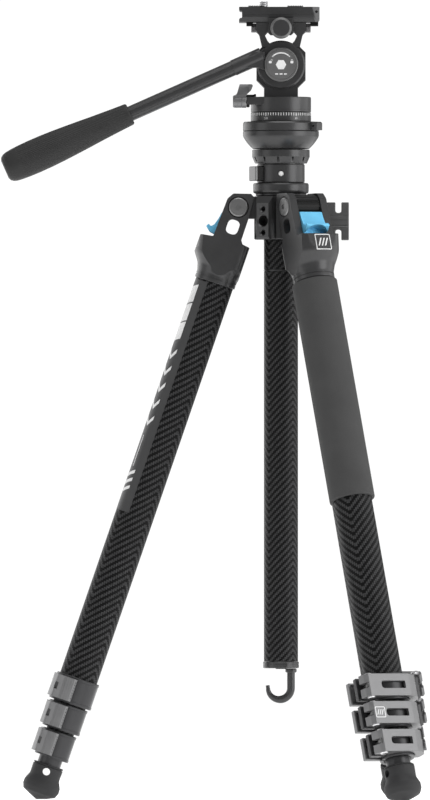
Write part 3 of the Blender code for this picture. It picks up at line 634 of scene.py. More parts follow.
def bracket():
    """The leg's hinge casting: two rounded ears over a hooded socket for the first tube."""
    side = [
        (0.0097, 0.0034, 0.003), (0.0068, 0.0084, 0.002), (-0.0057, 0.0124, 0.001),
        (-0.0088, 0.0106, 0.001), (-0.0098, -0.0053, 0.002), (-0.0099, -0.0222, 0.0016),
        (-0.0118, -0.025, 0.001), (-0.0176, -0.0258, 0.0006), (-0.0176, -0.059, 0.0002),
        (0.0192, -0.059, 0.0002), (0.0203, -0.043, 0.006), (0.0201, -0.0277, 0.0012),
        (0.0107, -0.0262, 0.001),
    ]
    body = slab("bracket", rounded(side, 0.001, steps=6), -EAR_SPAN, EAR_SPAN, "Y", 0.0011, 3)
    envelope = [
        (0, 0.03), (0.034, 0.03), (0.0252, -0.0265), (0.0226, -0.04, 0.01), (0.0172, -0.0475, 0.008),
        (0.0155, -0.053, 0.006), (0.0154, -0.0586, 0.0006), (0, -0.0586),
    ]
    keep_within(body, moved(lathe("envelope", rounded(envelope, 0, False)), ON_TUBE))
    inside = []
    turn_x = SOCKET_BACK + INNER_ROUND
    beyond = SOCKET_BACK - 0.0014
    for side in (-1, 1):
        turn_y = side * (EAR_SPAN - INNER_ROUND)
        corner = arc((turn_x, turn_y), INNER_ROUND, side * 90, side * 180, 16)
        past = side * (EAR_SPAN + 0.001)
        outline = [(beyond, past), (turn_x, past), *corner, (beyond, turn_y)]
        inside.append(slab("inner_corner", outline, -0.062, -0.0262))
    slot = brick("slot", (-0.04, -SLOT_HALF_WIDTH, -0.0275), (0.04, SLOT_HALF_WIDTH, 0.02), 0.0008, 3)
    socket_top = TUBE_TOPS[0] - 0.0003
    bore_radius = TUBE_RADII[0] + 0.0001
    bore = lathe("bore", [(0, -socket_top), (bore_radius, -socket_top), (bore_radius, -0.07), (0, -0.07)])
    window = slab("window", box_outline((-0.0053, -0.0206), (0.0037, -0.0094), 0.0042, 8), -0.03, 0.03, "Y")
    seat = BOLT_CAP_RADIUS + 0.0005
    counterbores = [rod("seat", seat, (0, s * 0.015, 0), (0, s * 0.03, 0), 64) for s in (-1, 1)]
    hinge = rod("hinge", 0.0041, (0, -0.03, 0), (0, 0.03, 0))
    groove = band("groove", 0.015, 0.02, -0.0553, -0.0558)
    cutters = [slot, moved(bore, ON_TUBE), window, hinge, *counterbores, *inside]
    return cut(body, *cutters, moved(groove, ON_TUBE))


def bolt_caps():
    """A round cap on each end of the hinge bolt, with a hexagon socket."""
    caps = []
    for side in (-1, 1):
        cap = [(0, 0), (0.007, 0), (0.007, 0.0006), (0.0062, 0.0012, 0.0006), (0, 0.0014)]
        made = lathe("cap", rounded(cap, 0.0003, False), 64)
        cut(made, slab("hexagon", circle_outline((0, 0), 0.0022, 6), 0.0004, 0.003))
        turn = Matrix.Rotation(-side * math.pi / 2, 4, "X")
        caps.append(moved(made, Matrix.Translation((0, side * 0.0151, 0)) @ turn))
    bar = rod("bolt", 0.004, (0, -0.0152, 0), (0, 0.0152, 0))
    return gathered("bolt_caps", [*caps, bar])


def bolt_washers():
    """The dark ring round each bolt cap."""
    rings = []
    for side in (-1, 1):
        ring = lathe("washer", [(0.007, 0), (0.0078, 0), (0.0078, 0.0008), (0.007, 0.0008)], 64, True)
        turn = Matrix.Rotation(-side * math.pi / 2, 4, "X")
        rings.append(moved(ring, Matrix.Translation((0, side * 0.0149, 0)) @ turn))
    return gathered("washers", rings)


def angle_tab():
    """The blue tab that frees the leg's spread: a flat face, and a lip that curls out under a finger."""
    outline = [
        (0.0088, -0.0072, 0.0004), (0.0104, -0.0076, 0.0006), (0.0112, -0.0125, 0.009),
        (0.0128, -0.0178, 0.004), (0.0148, -0.0198, 0.002), (0.0168, -0.0185, 0.0006),
        (0.0181, -0.0206, 0.0006), (0.0142, -0.024, 0.004), (0.0098, -0.0246, 0.001),
        (0.0052, -0.0242, 0.001), (0.0058, -0.0125, 0.004),
    ]
    tab = slab("angle_tab", rounded(outline, 0.0006, steps=6), -0.0095, 0.0095, "Y", 0.0004, 3)
    return cut(tab, rod("finger_arch", 0.0118, (0.0078, 0, -0.0318), (0.03, 0, -0.0318), FINE))


def tab_drum():
    """The ribbed black ratchet above the tab."""
    outline = arc((0, 0), 0.0093, -60, 52, 48) + arc((0, 0), 0.0086, 52, -60, 24)
    drum = slab("tab_drum", outline, -0.0094, 0.0094, "Y")
    grooves = []
    for turn in (-54, -46, -38, -22, -8, 6, 20, 34, 46):
        place = Matrix.Rotation(-math.radians(turn), 4, "Y")
        half = 0.0004 if turn > -30 else 0.0005
        grooves.append(moved(brick("rib_gap", (0.0088, -0.012, -half), (0.012, 0.012, half), 0), place))
    return cut(drum, *grooves)


def clamp_places(index):
    """A clamp's pin, out and along its tube's side, with the middle and half the height of its lever."""
    top, bottom, _ = COLLARS[index]
    return TUBE_OUT + LEVER_FACES[index] - PIN_IN, PIN_SIDES[index], -(top + bottom) / 2, LEVER_HEIGHT / 2


EAR_PAST_PIN = 0.0065  # how far a clamp's ears reach beyond its pin


def front_ear(index):
    _, pin_y, middle, half = clamp_places(index)
    low = TUBE_OUT + LEVER_FACES[index] - 0.0159
    edge = 0.0035 - COLLARS[index][2]
    ends = ((low, pin_y - EAR_PAST_PIN, middle - half), (low + 0.0042, edge, middle + half))
    return brick("front_ear", *ends, 0.0006)


def rear_ear(index):
    """The rear ear: a plate beside the collar, with a raised rim round a recess in its front."""
    _, pin_y, middle, half = clamp_places(index)
    edge = -COLLARS[index][2] + 0.0035
    low = TUBE_OUT - 0.0086
    ends = ((low, pin_y - EAR_PAST_PIN, middle - half), (low + 0.0041, edge, middle + half))
    ear = brick("rear_ear", *ends, 0.0006)
    rim = 0.0014
    recess_low = (low + rim, pin_y - 0.005, middle - half + rim)
    recess_high = (low + 0.01, edge + 0.01, middle + half - rim)
    return cut(ear, brick("ear_recess", recess_low, recess_high, 0.0003))


def collar(index):
    """A round collar with a beaded rim at each end and its clamping ears."""
    top, bottom, radius = COLLARS[index]
    inner = TUBE_RADII[index] + 0.0001 if index == 0 else TUBE_RADII[index] - 0.0002
    through = TUBE_RADII[index + 1] + 0.0001
    profile = [
        (inner, -top), (radius - 0.0004, -top), (radius, -top - 0.0004), (radius, -top - 0.002),
        (radius - 0.0003, -top - 0.0022), (radius - 0.0003, -bottom + 0.0022),
        (radius, -bottom + 0.002), (radius, -bottom + 0.0004), (radius - 0.0004, -bottom),
        (through, -bottom), (through, -top - 0.0083), (inner, -top - 0.0083),
    ]
    body = moved(lathe("collar", profile, hollow=True), ON_TUBE)
    middle = -(top + bottom) / 2
    bore = moved(rod("bore", radius - 0.0012, (0, 0, middle - 0.02), (0, 0, middle + 0.02), FINE), ON_TUBE)
    ear = cut(front_ear(index), bore)
    split_low = (TUBE_OUT - 0.0022, -0.04, middle - 0.02)
    split_high = (TUBE_OUT - 0.0008, -radius + 0.0045, middle + 0.02)
    return join(cut(body, brick("split", split_low, split_high, 0)), ear)


def clamp_bolt(index):
    """The bright bolt across the ears, its nut, and the lever's pin with its domed ends."""
    pin_x, pin_y, middle, half = clamp_places(index)
    head = TUBE_OUT - 0.0104
    bolt = rod("bolt", 0.0017, (head + 0.001, pin_y, middle), (pin_x, pin_y, middle))
    nut = slab("nut", circle_outline((pin_y, middle), 0.003, 6), head, head + 0.0018, "X", 0.0003)
    ends = [(pin_x, pin_y, middle + side * 0.0034) for side in (-1, 1)]
    barrel = rod("barrel", 0.0022, *ends, chamfer=0.0004)
    ends = ((pin_x, pin_y, middle - half + 0.0007), (pin_x, pin_y, middle + half - 0.0007))
    pin = rod("pin", 0.0019, *ends)
    ends = ((pin_x, pin_y - 0.002, middle), (pin_x + 0.0006, pin_y - 0.0028, middle))
    tip = rod("bolt_end", 0.0012, *ends, chamfer=0.0002)
    return gathered("clamp_bolt", [bolt, nut, barrel, pin, tip])


def flip_lever(index):
    """A lever: a flat face with a window, a ribbed free end curved round the collar, and a forked knuckle."""
    face = LEVER_FACES[index]
    size = face / LEVER_FACES[0]
    nose = LEVER_NOSES[index]
    inner = COLLARS[index][2] + 0.0005
    pin_x, pin_y, middle, half = clamp_places(index)
    outline = [
        (TUBE_OUT + face - 0.0082, pin_y - 0.004, 0.001),
        (TUBE_OUT + face - 0.0079, pin_y - 0.0066, 0.0012),
        (TUBE_OUT + face - 0.0028, pin_y - 0.0048 * nose, 0.0005),
        (TUBE_OUT + face, pin_y - 0.0022 * nose * nose, 0.0005),
        (TUBE_OUT + face, 0.0056 * size, 0.006), (TUBE_OUT + 0.0177 * size, 0.011 * size, 0.006),
        (TUBE_OUT + 0.015 * size, 0.0172 * size, 0.006),
        (TUBE_OUT + 0.009 * size, 0.021 * size, 0.004),
        (TUBE_OUT + 0.003 * size, 0.0208 * size, 0.001), (TUBE_OUT, 0.0196 * size, 0.001),
    ]
    meet = -math.degrees(math.acos((face - 0.0082) / inner))
    outline = rounded(outline, 0, steps=4) + arc((TUBE_OUT, 0), inner, 90, meet, 40)
    lever = slab("lever", outline, middle - half, middle + half, bevel=0.0005, segments=3)
    pocket = ((0, -0.05, middle - 0.0021), (TUBE_OUT + face - 0.0012, pin_y + 0.0034, middle + 0.0021))
    fork = brick("fork", *pocket, 0)
    bend = pin_y - 0.0022 * nose * nose
    mouth_low = (TUBE_OUT + face - 0.006, -0.05, middle - 0.0021)
    mouth = brick("mouth", mouth_low, (0.05, bend - 0.0003, middle + 0.0021), 0)
    hole = rod("pin_hole", 0.002, (pin_x, pin_y, middle - 0.02), (pin_x, pin_y, middle + 0.02))
    left, right = -0.0136 * size, 0.0068 * size
    rim = [(left, -0.0029, 0.0028), (right, -0.0029, 0.0006), (right, 0.0029, 0.0006), (left, 0.0029, 0.0028)]
    window_outline = [(a, middle + b) for a, b in rounded(rim, 0, steps=8)]
    window = slab("window", window_outline, 0.004, 0.03, "X")
    cut(lever, fork, mouth, hole, window)
    ribs = []
    for out in (0.0026, 0.0044, 0.0062, 0.008, 0.0098):
        low = (TUBE_OUT + out * size - 0.0004, 0.0204 * size, middle - 0.03)
        high = (TUBE_OUT + out * size + 0.0004, 0.05, middle + 0.03)
        ribs.append(brick("rib_gap", low, high, 0))
    slot_low = (TUBE_OUT + 0.0128 * size, 0.011, middle - 0.0026)
    slot_high = (TUBE_OUT + 0.0152 * size, 0.05, middle + 0.0026)
    ribs.append(brick("end_slot", slot_low, slot_high, 0))
    for z in (-0.006, -0.004, -0.002, 0, 0.002, 0.004, 0.006):
        low = (TUBE_OUT - 0.002, 0.0192 * size, middle + z - 0.0003)
        high = (TUBE_OUT + 0.0014 * size, 0.05, middle + z + 0.0003)
        ribs.append(brick("end_hatch", low, high, 0))
    return cut(lever, *ribs)


def pin_heads(index):
    """The bright ends of a lever's pin, a little proud of its upper and lower faces."""
    pin_x, pin_y, middle, half = clamp_places(index)
    heads = []
    for side in (-1, 1):
        ends = [(pin_x, pin_y, middle + side * (half + reach)) for reach in (-0.0006, 0.0009)]
        heads.append(rod("pin_head", 0.003, *ends, chamfer=0.0005))
    return gathered("pin_heads", heads)


def woven(tube, radius):
    """Scales a tube's map so that a whole number of the weave's bands goes round it."""
    scale = BANDS * TOWS_PER_BAND * TOW / (math.tau * radius)
    for loop in tube.data.uv_layers["metres"].data:
        loop.uv *= scale
    return tube


def sleeve(name, number, top, bottom, wall=0.0015):
    """A carbon tube of the leg, with square-cut ends."""
    outer = TUBE_RADII[number - 1]
    edge = 0.0002
    profile = [(outer - edge, top), (outer, top - edge), (outer, bottom + edge), (outer - edge, bottom)]
    profile += [(outer - wall, bottom), (outer - wall, top)]
    return moved(woven(lathe(name, profile, hollow=True), outer), ON_TUBE)


def ferrule():
    """The plain ring on the last tube, between the lowest collar and the foot."""
    outer = TUBE_RADII[3] + 0.00015
    profile = [(outer - 0.0006, -0.427), (outer, -0.4273), (outer, -0.4362), (outer - 0.0006, -0.4362)]
    return moved(lathe("ferrule", profile, hollow=True), ON_TUBE)


def foot():
    """A rubber foot: a grooved neck, a bulge, and a blunt cone cut flat where it meets the floor."""
    inner = TUBE_RADII[3] + 0.0002
    profile = [
        (inner, -0.4355), (0.0112, -0.4355, 0.0004), (0.0113, -0.4364, 0.0001),
        (0.0107, -0.4366, 0.0001), (0.0107, -0.437, 0.0001), (0.0114, -0.4372, 0.0001),
        (0.0113, -0.445, 0.005), (0.0137, -0.4502, 0.003), (0.01385, -0.4536, 0.0012),
        (0.0124, -0.4574, 0.002), (0.006, -0.4604, 0.003), (0, -0.4629), (0, -0.4379),
        (inner, -0.4379),
    ]
    body = moved(lathe("foot", rounded(profile, 0, False, 8), hollow=True), ON_TUBE)
    hole = rod("foot_hole", 0.0028, (TUBE_OUT, -0.03, -0.441), (TUBE_OUT, 0.03, -0.441))
    floor = brick("floor", (-0.05, -0.05, -0.05), (0.05, 0.05, 0), 0)
    place = leg_place("left")
    under_foot = (place @ Vector((0, 0, -0.46))).xy.to_3d()
    return cut(body, hole, moved(floor, place.inverted() @ Matrix.Translation(under_foot)))


def foam_grip():
    """The padded sleeve on the front leg, with soft ends."""
    outer = 0.0168
    top, bottom = -0.0592, -0.229
    profile = [(0.0145, top), (outer, top, 0.0012)]
    profile += [(outer, top + (bottom - top) * i / 60) for i in range(1, 60)]
    profile += [(outer, bottom, 0.0012), (0.0145, bottom)]
    return moved(lathe("foam_grip", rounded(profile, 0, False), 128, hollow=True), ON_TUBE)


def printed(name, start, end, low, high, climb=0.0, proud=0.0001):
    """A thin patch round the first tube, between two turns in degrees and two heights that may climb."""
    steps = max(2, round((end - start) / 4))
    bm = bmesh.new()
    columns = []
    for i in range(steps + 1):
        turn = math.radians(start + (end - start) * i / steps)
        lift = climb * i / steps
        corners = [(r, z + lift) for r in (TUBE_RADII[0] + proud, TUBE_RADII[0]) for z in (low, high)]
        columns.append([bm.verts.new((r * math.cos(turn), r * math.sin(turn), z)) for r, z in corners])
    for left, right in zip(columns, columns[1:]):
        for a, b in ((0, 1), (1, 3), (3, 2), (2, 0)):
            bm.faces.new((left[a], left[b], right[b], right[a]))
    for edge in (columns[0], columns[-1]):
        bm.faces.new((edge[0], edge[1], edge[3], edge[2]))
    bmesh.ops.recalc_face_normals(bm, faces=bm.faces)
    return moved(from_bmesh(name, bm), ON_TUBE)


def leg_label():
    """The plain dark film down the outer side of the left leg."""
    return printed("leg_label", -24, 70, -0.24, -0.06)


def label_marks():
    """Plain marks printed on the film: slanted bars, arrowheads, a line, and three dashes."""
    marks = []
    for top in (0.0665, 0.081, 0.0955):
        marks.append(printed("bar", 6, 42, -top - 0.0134, -top, 0.003, 0.0002))
    for top in (0.114, 0.127, 0.14, 0.153, 0.166):
        marks.append(printed("arrow_left", 6, 26, -top - 0.0032, -top, -0.0055, 0.0002))
        marks.append(printed("arrow_right", 26, 46, -top - 0.0087, -top - 0.0055, 0.0055, 0.0002))
    marks.append(printed("line", 24, 27, -0.206, -0.182, 0.0, 0.0002))
    for top in (0.212, 0.218, 0.224):
        marks.append(printed("dash", 10, 44, -top - 0.0026, -top, 0.0036, 0.0002))
    return gathered("label_marks", marks)


def emblem(middle, half_width, half_height, face):
    """A plain mark for a flat face that looks outward: a rounded frame round three slanted stripes."""
    y, z = middle
    back = face - 0.0008
    wide, high = half_width - 0.0006, half_height - 0.0006
    outer = box_outline((y - half_width, z - half_height), (y + half_width, z + half_height), 0.001)
    inner = box_outline((y - wide, z - high), (y + wide, z + high), 0.0007)
    opening = slab("opening", inner, face - 0.01, face + 0.01, "X")
    pieces = [cut(slab("frame", outer, back, face, "X"), opening)]
    for shift in (-0.42, 0.0, 0.42):
        left = y + shift * half_width - 0.28 * half_width
        stripe = [(0, -0.5), (0.16, -0.5), (0.56, 0.5), (0.4, 0.5)]
        outline = [(left + a * half_width, z + b * half_height) for a, b in stripe]
        pieces.append(slab("stripe", outline, back, face, "X"))
    return gathered("emblem", pieces)


# Pieces that each leg has once: name, shape, material, body, slot and CAD node, {} being the leg.
LEG_PIECES = (
    ("hinge_bracket", bracket, CASTING, "{}_leg", "dark_casting", "{}_leg_bracket"),
    ("bolt_caps", bolt_caps, CAP_METAL, "{}_leg", "silver_cap", "{}_leg_hinge_bolt"),
    ("bolt_washers", bolt_washers, BLACK, "{}_leg", "dark_casting"),
    ("spread_tab", angle_tab, BLUE_METAL, "{}_leg_tab", "blue_tab", "{}_leg_angle_tab"),
    ("tab_drum", tab_drum, BLACK, "hub", "dark_casting"),
    ("rubber_foot", foot, FOOT_RUBBER, "{}_leg_foot_section", "rubber_foot", "{}_leg_foot"),
    ("ferrule", ferrule, COLLAR_METAL, "{}_leg_foot_section", "grey_collar"),
)
# Pieces of each leg clamp: name, shape, material, body, slot and CAD node. {section} is the leg's
# section, {lever} is its lever's body and {number} counts from the top.
CLAMP_PIECES = (
    ("collar", collar, COLLAR_METAL, "{section}", "grey_collar"),
    ("clamp_bolt", clamp_bolt, CAP_METAL, "{section}", "bright_steel"),
    ("flip_lever", flip_lever, LEVER_METAL, "{lever}", "grey_lever", "{leg}_leg_lever_{number}"),
    ("pin_heads", pin_heads, STEEL, "{lever}", "bright_steel"),
    ("rear_ear", rear_ear, LEVER_METAL, "{section}", "grey_lever"),
)
# Tubes from the top: body, CAD node and slot.
TUBES = (
    ("{}_leg", "{}_leg_tube_1", "carbon_tube"),
    ("{}_leg_middle_section", "{}_leg_section_2", "carbon_section"),
    ("{}_leg_lower_section", "{}_leg_section_3", "carbon_section"),
    ("{}_leg_foot_section", "{}_leg_tube_4", "carbon_tube"),
)
LEVERS = ("upper", "middle", "lower")


def leg_meshes():
    """One mesh for each piece that the three legs share, by name."""
    meshes = {name: settle(shape(), material) for name, shape, material, *_ in LEG_PIECES}
    for index in range(3):
        for name, shape, material, *_ in CLAMP_PIECES:
            meshes[f"{name}_{index + 1}"] = settle(shape(index), material)
    bottoms = (-(COLLARS[0][0] + 0.008), -COLLARS[1][1], -COLLARS[2][1], -0.4376)
    for number, (top, bottom) in enumerate(zip(TUBE_TOPS, bottoms), 1):
        name = f"carbon_tube_{number}"
        meshes[name] = settle(sleeve(f"tube_{number}", number, -top, bottom), CARBON)
    return meshes


def build_leg(leg, meshes):
    place = leg_place(leg)
    for name, _, _, body, slot, *nodes in LEG_PIECES:
        nodes = [node.format(leg) for node in nodes]
        put(f"{leg}_{name}", meshes[name], place, body.format(leg), slot, *nodes)
    turn = Matrix.Rotation(math.radians(90 if leg == "front" else 0), 4, "Z")
    about_tube = place @ ON_TUBE @ turn @ ON_TUBE.inverted()
    for number, (body, node, slot) in enumerate(TUBES, 1):
        body = body.format(leg)
        name = f"carbon_tube_{number}"
        put(f"{leg}_{name}", meshes[name], about_tube, body, slot, node.format(leg))
        if number > len(LEVERS):
            continue
        words = {"leg": leg, "number": number, "section": body}
        words["lever"] = f"{leg}_leg_{LEVERS[number - 1]}_lever"
        for name, _, _, rides, slot, *nodes in CLAMP_PIECES:
            name = f"{name}_{number}"
            nodes = [node.format(**words) for node in nodes]
            if name == "collar_1":
                nodes = [f"{leg}_leg_collar_1"]
            put(f"{leg}_{name}", meshes[name], place, rides.format(**words), slot, *nodes)


def build_legs():
    meshes = leg_meshes()
    for leg in LEGS:
        build_leg(leg, meshes)
    front = leg_place("front")
    left = leg_place("left")
    grip = settle(foam_grip(), FOAM)
    put("front_foam_sleeve", grip, front, "front_leg", "foam", "foam_grip")
    label = settle(leg_label(), LABEL)
    marks = settle(label_marks(), WHITE_INK)
    put("left_leg_label", label, left, "left_leg", "dark_casting")
    put("left_leg_label_marks", marks, left, "left_leg", "dark_casting")
    hood_emblem = settle(emblem((0, -0.0346), 0.0064, 0.006, 0.0205), WHITE_INK)
    put("front_hood_emblem", hood_emblem, front, "front_leg", "dark_casting")
    middle = -(COLLARS[1][0] + COLLARS[1][1]) / 2
    face = TUBE_OUT + LEVER_FACES[1] + 0.0001
    lever_emblem = settle(emblem((-0.0179, middle), 0.0042, 0.0042, face), WHITE_INK)
    put("front_lever_emblem", lever_emblem, front, "front_leg_middle_lever", "dark_casting")


build_legs()


# Hub and column


LUG_AZIMUTHS = (180, -60, 60)  # degrees
HINGE_RADIUS = 0.0315  # from the column's axis to the hinge bolts
HINGE_Z = 0.4377


def in_lug(azimuth):
    """A hinge lug's frame: the leg's hinge line, without the leg's lean."""
    turn = Matrix.Rotation(math.radians(azimuth), 4, "Z")
    return turn @ Matrix.Translation((HINGE_RADIUS, 0, HINGE_Z))


def port_pillar():
    """The pillar with the accessory port, its vertical and end edges chamfered."""
    outline = [(0.0135, -0.0066), (0.025, -0.0066), (0.0275, -0.005)]
    outline += [(x, -y) for x, y in reversed(outline)]
    pillar = slab("pillar", outline, 0.4141, 0.4459, bevel=0.0003)
    high = [(0.02, 0.448), (0.03, 0.448), (0.03, 0.4405), (0.0276, 0.4405), (0.0235, 0.4461)]
    low = [(0.0262, 0.4135), (0.03, 0.4135), (0.03, 0.416), (0.0276, 0.416)]
    return cut(pillar, *[slab("end_chamfer", outline, -0.01, 0.01, "Y") for outline in (high, low)])


def spider():
    """The hub casting: a bored drum with three hinge lugs and three pillars."""
    profile = [(0, 0.414), (0.0192, 0.414), (0.0198, 0.4146), (0.0198, 0.4454), (0.0192, 0.446), (0, 0.446)]
    body = lathe("spider", profile)
    lugs = []
    for azimuth in LUG_AZIMUTHS:
        side = [(-0.0175, -0.0084), (0.0000, -0.0084), (0.0000, 0.008), (-0.0175, 0.008)]
        web = slab("lug", side, -0.0094, 0.0094, "Y", 0.0004)
        drum = slab("lug_drum", circle_outline((0, 0), 0.0084, 64), -0.0092, 0.0092, "Y", 0.0003)
        rim = arc((0, 0), 0.0092, 26, 150, 40) + arc((0, 0), 0.005, 150, 26, 20)
        cap = slab("lug_cap", rim, -0.0094, 0.0094, "Y", 0.0003)
        place = in_lug(azimuth)
        lugs += [moved(web, place), moved(drum, place), moved(cap, place)]
    pillars = []
    for azimuth in (0, 120, -120):
        pillars.append(turned_about_z(port_pillar(), azimuth))
    join(body, *lugs, *pillars)
    bore = rod("bore", 0.0129, (0, 0, 0.4), (0, 0, 0.46), FINE)
    holes = [rod("bolt_bore", 0.0041, (0, -0.02, 0), (0, 0.02, 0)) for _ in range(3)]
    holes = [moved(hole, in_lug(azimuth)) for hole, azimuth in zip(holes, LUG_AZIMUTHS)]
    port = Matrix.Rotation(PORT_AZIMUTH, 4, "Z")
    for rise, radius, depth in ((0, 0.00385, 0.01), (0.0087, 0.0017, 0.006), (-0.0087, 0.0017, 0.006)):
        z = KNOB_Z + rise
        mouth = radius + 0.0009
        floor = 0.0275 - depth
        profile = [(0, 0.03), (mouth, 0.03), (mouth, 0.0274), (radius, 0.0265)]
        hole = lathe("port", [*profile, (radius, floor), (0, floor)], SMALL)
        holes.append(moved(hole, port @ aimed_out((0, 0, z))))
    stud = rod("stud_bore", 0.0034, (0.012, 0, KNOB_Z), (0.04, 0, KNOB_Z))
    return cut(body, bore, *holes, stud)


COLUMN_OUT = 0.0126  # the column tube's radius


def lock_knob():
    """The column lock knob: a hub, and a plate with a square slot in each end."""
    wing = [
        (0.034, -0.014, 0.0008), (0.0403, -0.014, 0.0008), (0.0403, -0.0062, 0.003),
        (0.0447, -0.0062, 0.003), (0.0447, -0.014, 0.0008), (0.0503, -0.014, 0.0008),
        (0.0503, 0.014, 0.0008), (0.0447, 0.014, 0.0008), (0.0447, 0.0062, 0.003),
        (0.0403, 0.0062, 0.003), (0.0403, 0.014, 0.0008), (0.034, 0.014, 0.0008),
    ]
    outline = [(x, KNOB_Z + z) for x, z in rounded(wing, 0.0008)]
    plate = slab("knob_plate", outline, -0.0055, 0.0055, "Y", 0.0008, 3)
    step = box_outline((0.0342, KNOB_Z - 0.0046), (0.0501, KNOB_Z + 0.004), 0.0012)
    ridge = slab("knob_ridge", step, -0.0061, 0.0061, "Y", 0.0008)
    profile = [(0.0062, 0.0), (0.0062, 0.005, 0.0005), (0.0052, 0.0056, 0.0005), (0.0052, 0.0085)]
    hub = lathe("knob_hub", [(0, 0), *rounded(profile, 0.0003, False), (0, 0.0085)], 64)
    moved(hub, aimed_out((0.028, 0, KNOB_Z)))
    stud = rod("knob_stud", 0.003, (0.0132, 0, KNOB_Z), (0.03, 0, KNOB_Z))
    lines = []
    for height in (KNOB_Z - 0.003, KNOB_Z + 0.001):
        for near, far in ((-0.01, -0.0057), (0.0057, 0.01)):
            lines.append(brick("knob_line", (0.03, near, height - 0.0003), (0.06, far, height + 0.0003), 0))
    cut(ridge, *lines)
    return join(plate, ridge, hub, stud)


def column_parts():
    """The column's tubes, seam ring, end cap, hook and collar, as (name, mesh, body, slot, nodes)."""
    tubes = []
    for top, bottom in ((0.466, 0.3919), (0.3903, 0.1018)):
        profile = [(COLUMN_OUT, top), (COLUMN_OUT, bottom), (0.0108, bottom), (0.0108, top)]
        tubes.append(settle(woven(lathe("column_tube", profile, hollow=True), COLUMN_OUT), CARBON))
    seam = [
        (0.011, 0.3904), (0.0124, 0.3904), (0.01275, 0.3906),
        (0.01275, 0.3916), (0.0124, 0.3918), (0.011, 0.3918),
    ]
    ring = [
        (0, 0.1017), (0.0128, 0.1017), (0.01325, 0.1012), (0.01325, 0.0974),
        (0.0127, 0.0968), (0.004, 0.0968), (0.004, 0.0962), (0, 0.0962),
    ]
    end_ring = cut(lathe("ring", ring), band("groove", 0.0129, 0.02, 0.0996, 0.1))
    collar_profile = [(0.013, 0.4463), (0.0186, 0.4463), (0.0186, 0.4478), (0.0203, 0.4486), (0.0206, 0.45)]
    collar_profile += [(0.0206, 0.4545), (0.02, 0.4557), (0.013, 0.4557)]
    collar_body = lathe("column_collar", rounded(collar_profile, 0.0004, True), hollow=True)
    knob = settle(lock_knob(), KNOB_METAL)
    return [
        ("column_tube_upper", tubes[0], "column", "carbon_tube", "column_upper"),
        ("column_tube_lower", tubes[1], "column", "carbon_tube", "column_lower"),
        ("column_seam", settle(lathe("seam", seam, hollow=True), CASTING), "column", "dark_casting", None),
        ("column_foot_ring", settle(end_ring, CASTING), "column", "dark_casting", "column_end_ring"),
        ("column_hook", settle(hook(), CASTING), "column", "dark_casting", "weight_hook"),
        ("hub_collar", settle(collar_body, CASTING), "hub", "dark_casting", "column_collar"),
        ("hub_casting", settle(spider(), CASTING), "hub", "dark_casting", "spider"),
        ("column_knob_plate", knob, "column_knob", "dark_casting", "column_lock_knob"),
    ]


def hook():
    """The J hook for a bag: a round bar that tapers to a blunt tip."""
    centre_x, centre_z, bend = -0.0011, 0.0821, 0.0085
    route = [(centre_x + bend, 0.0966), (centre_x + bend, 0.089)]
    route += arc((centre_x, centre_z), bend, 0, -180, 28)
    route += [(centre_x - bend - 0.0003, centre_z + 0.0021)]
    curve = bpy.data.curves.new("hook", "CURVE")
    curve.dimensions = "3D"
    curve.bevel_depth = 0.0029
    curve.bevel_resolution = 8
    curve.use_fill_caps = True
    spline = curve.splines.new("POLY")
    spline.points.add(len(route) - 1)
    straight = 14
    for i, (point, (x, z)) in enumerate(zip(spline.points, route)):
        point.co = (x, 0, z, 1)
        point.radius = 1 if i < straight else 1 - 0.55 * (i - straight) / (len(route) - straight)
    drawn = new_object("hook", curve)
    mesh = evaluated_mesh(drawn)
    bpy.data.objects.remove(drawn)
    neck = centre_x + bend
    shoulder = rod("shoulder", 0.0042, (neck, 0, 0.0966), (neck, 0, 0.0936), chamfer=0.0006)
    return gathered("hook", [new_object("hook", mesh), shoulder])


put_on_column(column_parts())


# Head


def facing(azimuth, radius=0.0, z=0.0):
    """A frame whose X points out from the column at this azimuth in degrees."""
    return Matrix.Rotation(math.radians(azimuth), 4, "Z") @ Matrix.Translation((radius, 0, z))


BUTTON_AZIMUTH = 205  # degrees, of the neck's release button
NECK_DOT_AZIMUTH = -90
NECK_DOT = (0.0166, 0, 0.4625)


def levelling_neck():
    """The short neck above the hub, with pockets for the release button and for a dot."""
    profile = [
        (0.0129, 0.456), (0.0172, 0.456), (0.0176, 0.4564), (0.0176, 0.469), (0.0171, 0.4694),
        (0.0171, 0.47), (0.0137, 0.47), (0.0137, 0.4755), (0.0102, 0.4755), (0.0102, 0.4664),
        (0.0129, 0.4664),
    ]
    body = lathe("neck", profile, hollow=True)
    pocket = moved(brick("pocket", (0.014, -0.0062, 0.4569), (0.03, 0.0062, 0.4683)), facing(BUTTON_AZIMUTH))
    seat = moved(rod("seat", 0.0024, NECK_DOT, (0.03, 0, NECK_DOT[2])), facing(NECK_DOT_AZIMUTH))
    ring_slot = band("slot", 0.0172, 0.03, 0.45672, 0.457)
    return cut(body, pocket, seat, ring_slot)


def neck_dot():
    profile = [(0, 0), (0.0019, 0), (0.0019, 0.0004), (0.0014, 0.0009), (0, 0.001)]
    return moved(lathe("dot", profile, SMALL), facing(NECK_DOT_AZIMUTH) @ aimed_out(NECK_DOT))


def neck_button():
    """The release button's pale cap."""
    cap = brick("button", (0.0214, -0.0058, 0.4572), (0.0236, 0.0058, 0.468), 0.0008, 3)
    return moved(cap, facing(BUTTON_AZIMUTH))


def button_body():
    """The body behind the release button's cap, coloured black: painted shade for the button's shadowed side
    face.
    """
    body = brick("button_body", (0.016, -0.0057, 0.4573), (0.0216, 0.0057, 0.4679), 0.0003)
    return moved(body, facing(BUTTON_AZIMUTH))


